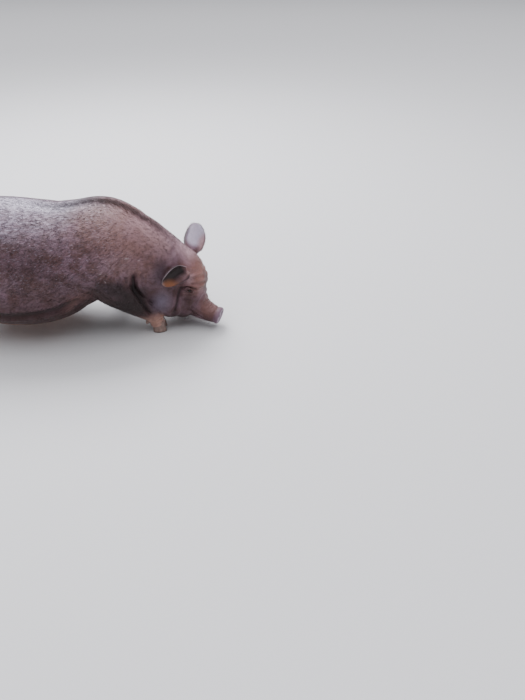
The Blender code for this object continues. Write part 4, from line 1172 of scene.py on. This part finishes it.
# A bristle from its root up: how far along, how far off the skin, and its width, as shares
LYING = ((-0.06, -0.05, 1.0), (0.45, 0.055, 0.80), (1.0, 0.045, 0.0))
STANDING = ((-0.10, -0.20, 1.0), (0.25, 0.26, 0.95), (0.65, 0.50, 0.60), (1.0, 0.56, 0.0))


def bristles(name, at, out, lie, lengths, widths, form, finish, tones):
    """Tapered three-sided bristles, joined in one mesh. Each has its patch on the bake's map."""
    count = len(at)
    across = np.cross(out, lie)
    along, off, _ = form[-1]
    fall = np.maximum(-(along * lie[:, 2] + off * out[:, 2]), 0.01)
    lengths = np.minimum(lengths, (at[:, 2] - ABOVE_FLOOR) / fall)
    rows = []
    for share, rise, wide in form[:-1]:
        middle = at + lie * (share * lengths)[:, None] + out * (rise * lengths)[:, None]
        half = across * (0.5 * wide * widths)[:, None]
        rows += [middle - half, middle + half, middle + out * (0.45 * wide * widths)[:, None]]
    rows.append(at + lie * (along * lengths)[:, None] + out * (off * lengths)[:, None])
    points = np.stack(rows, axis=1)
    size = points.shape[1]
    faces = [(0, 1, 2)]
    for k in range(0, size - 4, 3):
        for i, j in ((0, 2), (2, 1), (1, 0)):
            faces += [(k + i, k + j, k + 3 + j), (k + i, k + 3 + j, k + 3 + i)]
    k = size - 4
    faces += [(k + 0, k + 2, k + 3), (k + 2, k + 1, k + 3), (k + 1, k + 0, k + 3)]
    faces = np.array(faces)
    corners = (faces[None] + (np.arange(count) * size)[:, None, None]).reshape(-1)
    mesh = bpy.data.meshes.new(name)
    mesh.vertices.add(count * size)
    mesh.vertices.foreach_set("co", points.reshape(-1))
    mesh.loops.add(len(corners))
    mesh.loops.foreach_set("vertex_index", corners.astype(np.int32))
    mesh.polygons.add(len(corners) // 3)
    mesh.polygons.foreach_set("loop_start", np.arange(0, len(corners), 3, dtype=np.int32))
    mesh.update(calc_edges=True)
    up = np.array([row[0] for row in form[:-1] for _ in range(3)] + [1.0])
    aside = np.array([0.0, 1.0, 0.5] * (len(form) - 1) + [0.5])
    u, v = unwrapped(at)
    patch = np.stack([u[:, None] + PATCH * aside, v[:, None] + PATCH * np.clip(up, 0.0, 1.0)], axis=2)
    mesh.uv_layers.new(name="OFBake").data.foreach_set("uv", patch.reshape(-1, 2)[corners].reshape(-1))
    for label, values in (("tone", np.repeat(tones, size)), ("up", np.tile(up, count))):
        mesh.attributes.new(label, "FLOAT", "POINT").data.foreach_set("value", values.astype(np.float32))
    mesh.shade_smooth()
    mesh.materials.append(finish)
    made = placed(name, mesh)
    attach(made, "root")
    return made


def bristle_finish(name, root_colour, tip_colour, marked):
    """One colour at the root and another at the tip, with a share of the skin's markings."""
    made, tree, shader = material(name, 0.42, Specular_IOR_Level=0.22)
    own = mixed(tree, spread(tree, painted(tree, "up"), 0.1, 0.9), root_colour, tip_colour)
    colour = mixed(tree, marked, own, marked_colour(tree))
    darker = mixed(tree, 0.55, colour, NEARLY_BLACK)
    tree.links.new(mixed(tree, painted(tree, "tone"), darker, colour), shader.inputs["Base Color"])
    return made


def strewn(lie, out, amount, chance):
    """The lies turned about the way out by small random angles."""
    turn = chance.normal(0.0, amount, len(lie))[:, None]
    return lie * np.cos(turn) + np.cross(out, lie) * np.sin(turn)


COAT_BRISTLES = 17000  # in each of the coat's four meshes
DARK_BRISTLE = bristle_finish("dark bristle", (0.016, 0.009, 0.008), (0.050, 0.032, 0.029), 0.30)
PALE_BRISTLE = bristle_finish("pale bristle", (0.130, 0.090, 0.095), (0.400, 0.335, 0.365), 0.66)
height_share = smooth(face_centres[:, 2], 0.12, 0.42)
head_share = smooth(face_heads[:, 0], -0.09, -0.02)
foot_share = smooth(face_centres[:, 2], 0.10, 0.05)
body_growth = (0.35 + 0.65 * height_share) * (1.0 - 0.92 * head_share) * (1.0 - foot_share) * ~on_ears
frost_growth = body_growth * (0.25 + 0.75 * smooth(face_centres[:, 0], 0.30, 0.0))
frost_growth *= 0.12 + 0.88 * smooth(face_centres[:, 2], 0.16, 0.36)
dark_growth = body_growth * (1.0 - 0.6 * height_share)
for name, growth, finish, seed in (
    ("coat_dark_a", dark_growth, DARK_BRISTLE, 21),
    ("coat_dark_b", dark_growth, DARK_BRISTLE, 22),
    ("coat_pale_a", frost_growth, PALE_BRISTLE, 23),
    ("coat_pale_b", frost_growth, PALE_BRISTLE, 24),
):
    chance = np.random.default_rng(seed)
    at, out = roots(COAT_BRISTLES, growth, chance)
    lie = strewn(lie_of_coat(at, out), out, 0.22, chance)
    lengths = chance.uniform(0.010, 0.019, COAT_BRISTLES)
    widths = chance.uniform(0.00040, 0.00075, COAT_BRISTLES)
    bristles(name, at, out, lie, lengths, widths, LYING, finish, chance.random(COAT_BRISTLES))


# The crest: longer, thicker, dark bristles in a band along the ridge of the back, from the loin over the
# withers to behind the ears. They lean back over one another.

CREST_FROM, CREST_TO = -0.180, 0.400
CREST_HALF_WIDTH = 0.026
CREST_BRISTLES = 2200
CRESTED = ((-0.08, -0.12, 1.0), (0.25, 0.18, 0.95), (0.65, 0.32, 0.60), (1.0, 0.34, 0.0))
CREST_BRISTLE = bristle_finish("crest bristle", (0.020, 0.013, 0.012), (0.110, 0.080, 0.078), 0.30)
skin_tree = BVHTree.FromObject(skin, bpy.context.evaluated_depsgraph_get())
chance = np.random.default_rng(31)
at, out, lengths = [], [], []
while len(at) < CREST_BRISTLES:
    x = chance.uniform(CREST_FROM, CREST_TO)
    full = float(smooth(np.array([x]), CREST_FROM, 0.10)[0])
    full *= float(smooth(np.array([x]), CREST_TO, CREST_TO - 0.08)[0])
    y = chance.normal(-0.15, 0.6) * CREST_HALF_WIDTH
    if chance.random() > 0.10 + 0.90 * full:
        continue
    place = STAND @ Vector((x, y + NECK_SWING * max(x - NECK_FROM, 0.0), 1.0))
    found, normal, _, _ = skin_tree.ray_cast(place, Vector((0, 0, -1)))
    edge = 1.0 - 0.45 * min(abs(y) / CREST_HALF_WIDTH, 1.0)
    at.append(found)
    out.append(normal)
    lengths.append((0.012 + 0.014 * full) * edge * chance.uniform(0.7, 1.1))
at, out, lengths = np.array(at), np.array(out), np.array(lengths)
lie = strewn(lie_of_coat(at, out), out, 0.20, chance)
widths = chance.uniform(0.0004, 0.0008, len(at))
bristles("crest", at, out, lie, lengths, widths, CRESTED, CREST_BRISTLE, chance.random(len(at)))


# Face, ears and chin: very short hair on the face and feet, a fringe along the rims of the ears, a few long
# whiskers round the mouth and chin, and stiff dark lashes on the upper lids.

FACE_HAIRS, FRINGE_HAIRS, WHISKERS, LASHES = 19000, 1500, 420, 70  # fringe and lashes: on each side
chance = np.random.default_rng(41)
face_growth = head_share * (1.0 - 0.6 * smooth(face_heads[:, 0], 0.05, 0.17))
face_growth += 0.5 * foot_share * (1.0 - head_share)
face_growth *= (1.0 - 0.4 * on_ears) * (1.0 - 0.85 * paint["ear cup"][triangles].mean(axis=1))
at, out = roots(FACE_HAIRS, face_growth, chance)
lie = strewn(lie_of_coat(at, out), out, 0.25, chance)
near_snout = smooth(in_head(at)[:, 0], 0.02, 0.16)
lengths = chance.uniform(0.007, 0.012, len(at)) * (1.0 - 0.5 * near_snout)
widths = chance.uniform(0.00028, 0.00050, len(at))
FACE_HAIR = bristle_finish("face hair", (0.050, 0.034, 0.030), (0.260, 0.200, 0.190), 0.55)
bristles("face_coat", at, out, lie, lengths, widths, LYING, FACE_HAIR, chance.uniform(0.3, 1.0, len(at)))

at, out, lie, lengths = [], [], [], []
for sizes in EARS:
    for _ in range(FRINGE_HAIRS):
        share, rim = chance.uniform(0.15, 1.0), chance.choice([-1.0, 1.0])
        side = rim * chance.uniform(0.90, 0.99)
        layer = chance.uniform(0.2, 1.0)
        here = on_ear(sizes, share, side, layer)
        nearer = on_ear(sizes, share - 0.05, side, layer)
        outwards = here - on_ear(sizes, share, side * 0.8, layer)
        at.append(here)
        out.append((here - on_ear(sizes, share, side, 0.5 * layer - 0.2)).normalized())
        lie.append((here - nearer).normalized() + outwards.normalized() * chance.uniform(0.2, 0.9))
        lengths.append(chance.uniform(0.005, 0.012) * (1.2 - 0.7 * share))
at, out, lie, lengths = np.array(at), unit(np.array(out)), np.array(lie), np.array(lengths)
lie = flattened(lie, out)
widths = chance.uniform(0.0003, 0.0005, len(at))
tones = chance.uniform(0.5, 1.0, len(at))
bristles("ear_fringe", at, out, lie, lengths, widths, STANDING, PALE_BRISTLE, tones)

chin_growth = smooth(face_heads[:, 0], 0.02, 0.10) * smooth(face_heads[:, 2], -0.16, -0.20)
at, out = roots(WHISKERS, chin_growth, chance)
lie = strewn(lie_of_coat(at, out), out, 0.5, chance)
lengths = chance.uniform(0.016, 0.030, len(at))
widths = chance.uniform(0.0005, 0.0007, len(at))
bristles("whiskers", at, out, lie, lengths, widths, STANDING, PALE_BRISTLE, chance.random(len(at)))

at, out, lie = [], [], []
for centre, turn in eye_centres:
    ahead, up, outward = (turn.to_3x3().col[i] for i in range(3))
    for _ in range(LASHES):
        x = chance.uniform(-0.011, 0.012)
        at.append(centre + ahead * x + up * (0.0034 - 14.0 * x * x) + outward * (0.0100 - 30.0 * x * x))
        out.append(up)
        lie.append(outward + ahead * (x * 40.0 + chance.uniform(-0.2, 0.2)) + up * 0.15)
at, out, lie = np.array(at), unit(np.array(out)), np.array(lie)
lie = flattened(lie, out)
widths = chance.uniform(0.0005, 0.0008, len(at))
lengths = chance.uniform(0.010, 0.016, len(at))
bristles("lashes", at, out, lie, lengths, widths, STANDING, CREST_BRISTLE, chance.random(len(at)))


# The switch: long straight bristles that grow out of the lower half of the tail all round, and hang
# together in a loose bundle.

SWITCH_BRISTLES = 1500
SWITCH_FROM = 0.45  # share of the tail from root to tip
SWITCH_ENDS = 0.182  # height where its longest bristles end
HANGING = ((0.0, 0.0, 1.0), (0.25, 0.075, 1.0), (0.55, 0.11, 0.9), (0.8, 0.095, 0.6), (1.0, 0.06, 0.0))
chance = np.random.default_rng(51)
tail_rows = [(x, y, z, radius) for _, x, y, z, radius in TAIL]
at, out = [], []
for _ in range(SWITCH_BRISTLES):
    x, y, z, radius = between(tail_rows, SWITCH_FROM + (1.0 - SWITCH_FROM) * chance.random() ** 0.6)
    turn = chance.uniform(0.0, 2.0 * math.pi)
    aside = Vector((math.cos(turn), math.sin(turn), 0.0))
    at.append(STAND @ Vector((x, y, z)) + aside * radius * 0.8)
    out.append(aside)
at, out = np.array(at), np.array(out)
lie = unit(np.array([0.0, 0.0, -1.0]) + 0.10 * chance.normal(0.0, 1.0, (len(at), 3)))
out = flattened(out, lie)
lengths = chance.uniform(0.028, 0.085, len(at))
lengths = np.minimum(lengths, at[:, 2] - SWITCH_ENDS)
widths = chance.uniform(0.0007, 0.0011, len(at))
bristles("tail_switch", at, out, lie, lengths, widths, HANGING, CREST_BRISTLE, chance.random(len(at)))


# Eyes: small and dark, a brown iris round a black pupil under a wet clear surface, deep behind the lids.
# They are balls that fill their sockets, and keep the place that the solid gives them.

IRIS_DARK, IRIS_BROWN = (0.022, 0.010, 0.006), (0.060, 0.028, 0.014)
EYE_WHITE = (0.06, 0.035, 0.030)
PUPIL = (0.004, 0.003, 0.003)


def eye_finish():
    """Pupil, iris and white by the angle from the middle of the pupil."""
    values = {"Specular_IOR_Level": 0.2, "Coat_Weight": 0.12, "Coat_Roughness": 0.04}
    made, tree, shader = material("eye", 0.20, **values)
    turn = painted(tree, "from pupil")
    fibres = noise(tree, node(tree, "TexCoord").outputs["Object"], 900.0, 3.0)
    colour = mixed(tree, spread(tree, fibres, 0.35, 0.65), IRIS_DARK, IRIS_BROWN)
    colour = mixed(tree, spread(tree, turn, 0.95, 1.05), colour, EYE_WHITE)
    colour = mixed(tree, spread(tree, turn, 0.44, 0.38), colour, PUPIL)
    tree.links.new(colour, shader.inputs["Base Color"])
    return made


EYE = eye_finish()
for name, (centre, turn) in zip(("eye_right", "eye_left"), eye_centres):
    bm = bmesh.new()
    bmesh.ops.create_uvsphere(bm, u_segments=40, v_segments=28, radius=EYE_RADIUS - BALL_GAP)
    eye = shape(name + "_ball", bm, Matrix.Translation(centre) @ turn)
    places, normals = points_of(eye.data)
    out = np.array(turn.to_3x3().col[2])
    from_pupil = eye.data.attributes.new("from pupil", "FLOAT", "POINT")
    from_pupil.data.foreach_set("value", np.arccos(np.clip(normals @ out, -1.0, 1.0)).astype(np.float32))
    eye.data.shade_smooth()
    eye.data.materials.append(EYE)
    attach(eye, "root")
    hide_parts(name)


# Claws: two horn toes under each foot and two dewclaws behind it, pale brown and streaked, darker towards
# the ground where they are worn. Each grows in rings out of the skin of the foot.

CORONET_HEIGHT = 0.0330  # where horn and skin meet, over the middle of the foot
CORONET_RISE = 0.42  # how steeply their seam climbs to the front
CLAW_SIDE = 0.0168  # from the middle of the foot to the middle of a claw
CLAW_TOE = 0.034
CLAW_HEEL = 0.023
CLAW_HALF_WIDTH = 0.0158
CLAW_SPREAD = math.radians(5)
CLAW_SLOPE = 0.26  # how far the front leans back from sole to seam, as a share of its length
CLAW_POINT = 0.42  # how much narrower the toe's end is
CLAW_SUNK = 0.006  # how far the horn runs up inside the skin
# Rings of a claw from the sole up: height as a share of the seam's, width of the ring
CLAW_RINGS = ((0.0, 0.86), (0.03, 0.91), (0.10, 0.99), (0.5, 1.0), (0.85, 0.96), (1.0, 0.90))
# Dewclaws, from root to tip: how far back and out from the bone, height and radius
DEWCLAW = (
    (-0.010, 0.012, 0.074, 0.0080),
    (-0.018, 0.015, 0.066, 0.0088),
    (-0.030, 0.018, 0.054, 0.0086),
    (-0.038, 0.020, 0.046, 0.0066),
    (-0.0415, 0.021, 0.0425, 0.0030),
)
HORN_BROWN, HORN_PALE = (0.17, 0.110, 0.090), (0.32, 0.220, 0.185)
HORN_RING = (0.16, 0.095, 0.070)
HORN_WORN = (0.075, 0.055, 0.042)


def horn_finish():
    """Fibres down the horn, growth rings across it, and dark worn edges."""
    made, tree, shader = material("claw horn", 0.42, Specular_IOR_Level=0.5)
    places = node(tree, "TexCoord").outputs["Object"]
    height = node(tree, "SeparateXYZ", {0: places}).outputs["Z"]
    rings = noise(tree, places, 1.0, 3.0, 0.6, (60.0, 60.0, 700.0))
    fibres = noise(tree, places, 1.0, 3.0, 0.6, (420.0, 420.0, 40.0))
    colour = mixed(tree, spread(tree, fibres, 0.35, 0.65), HORN_BROWN, HORN_PALE)
    colour = mixed(tree, spread(tree, rings, 0.50, 0.66, 0.0, 0.5), colour, HORN_RING)
    colour = mixed(tree, spread(tree, height, 0.012, 0.0, 0.0, 0.75), colour, HORN_WORN)
    tree.links.new(colour, shader.inputs["Base Color"])
    fine = bumped(tree, shader, rings, 0.0006, 0.8)
    bumped(tree, shader, fibres, 0.0003, 0.6, fine)
    return made


HORN = horn_finish()


def claw(name, foot_x, foot_y, side):
    """One toe: a flat sole with a rounded edge, a sloping front, and a top inside the skin."""
    bm = bmesh.new()
    loops = []
    turn = Matrix.Rotation(CLAW_SPREAD * side, 3, "Z")
    for i in range(21):
        share, width = between(CLAW_RINGS, i / 20)
        edges = ring(bm, 40, Matrix.Identity(4))
        for vertex in {v for edge in edges for v in edge.verts}:
            x, y = vertex.co.x, vertex.co.y
            reach = CLAW_TOE * (1.0 - CLAW_SLOPE * share) if x > 0 else CLAW_HEEL
            narrow = 1.0 - CLAW_POINT * max(x, 0.0) ** 2
            place = turn @ Vector((x * reach * width, y * CLAW_HALF_WIDTH * width * narrow, 0.0))
            place += Vector((foot_x, foot_y + side * CLAW_SIDE, 0.0))
            top = CORONET_HEIGHT + CORONET_RISE * (place.x - foot_x) + CLAW_SUNK * share
            vertex.co = (place.x, place.y, max(top * share, 0.0))
        loops.append(edges)
    lofted(bm, loops)
    return shape(name, bm, STAND)


for leg, joints, side in LEGS:
    (_, upper_x, _, upper_z, _, _), (_, foot_x, y, foot_z, _, _) = joints[-2:]
    for word, way in (("outer", side), ("inner", -side)):
        toe = leg.replace("leg", "claw") + "_" + word
        spur = leg.replace("leg", "dewclaw") + "_" + word
        rows = []
        for dx, dy, z, radius in DEWCLAW:
            bone = foot_x + (upper_x - foot_x) * (z - foot_z) / (upper_z - foot_z)
            rows.append((bone + dx, y * side + way * dy, z, radius, radius))
        bm = bmesh.new()
        limb(bm, rows, steps=4, sides=18)
        for name, piece in (
            (toe, claw(toe + "_horn", foot_x, y * side, way)),
            (spur, shape(spur + "_horn", bm, STAND)),
        ):
            piece.data.shade_smooth()
            piece.data.materials.append(HORN)
            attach(piece, "root")
            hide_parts(name)


# Floor, light and camera: a plain pale floor, one very large soft light overhead, a smaller one on her far
# side, and the camera above and beside her, looking down, as in the photograph.

bm = bmesh.new()
bmesh.ops.create_grid(bm, x_segments=1, y_segments=1, size=60.0)
floor = shape("floor", bm)
floor_finish, _, shader = material("pale floor", 0.85)
shader.inputs["Base Color"].default_value = (0.60, 0.60, 0.59, 1.0)
floor.data.materials.append(floor_finish)

COOL_WHITE = (0.93, 0.93, 1.0)


def soft_light(name, place, size, power, target=(0.0, 0.0, 0.3)):
    lamp = bpy.data.lights.new(name, "AREA")
    lamp.size = size
    lamp.energy = power
    lamp.color = COOL_WHITE
    made = placed(name, lamp)
    made.location = place
    made.rotation_euler = (Vector(target) - Vector(place)).to_track_quat("-Z", "Y").to_euler()


soft_light("ceiling", (0.0, 2.2, 12.0), 24.0, 4400, target=(0.0, 2.2, 0.0))
soft_light("behind", (-0.4, 2.3, 3.6), 2.6, 300)
world = bpy.data.worlds.new("studio")
world.use_nodes = True
background = world.node_tree.nodes["Background"]
background.inputs["Color"].default_value = (*COOL_WHITE, 1.0)
background.inputs["Strength"].default_value = 0.36
bpy.context.scene.world = world

lens = bpy.data.cameras.new("camera")
lens.sensor_width = 36.0
lens.lens = 28.5
camera = placed("camera", lens)
camera.location = (0.5402, -2.0191, 1.31)
camera.rotation_euler = (math.radians(53), 0.0, math.radians(-6))
bpy.context.scene.camera = camera
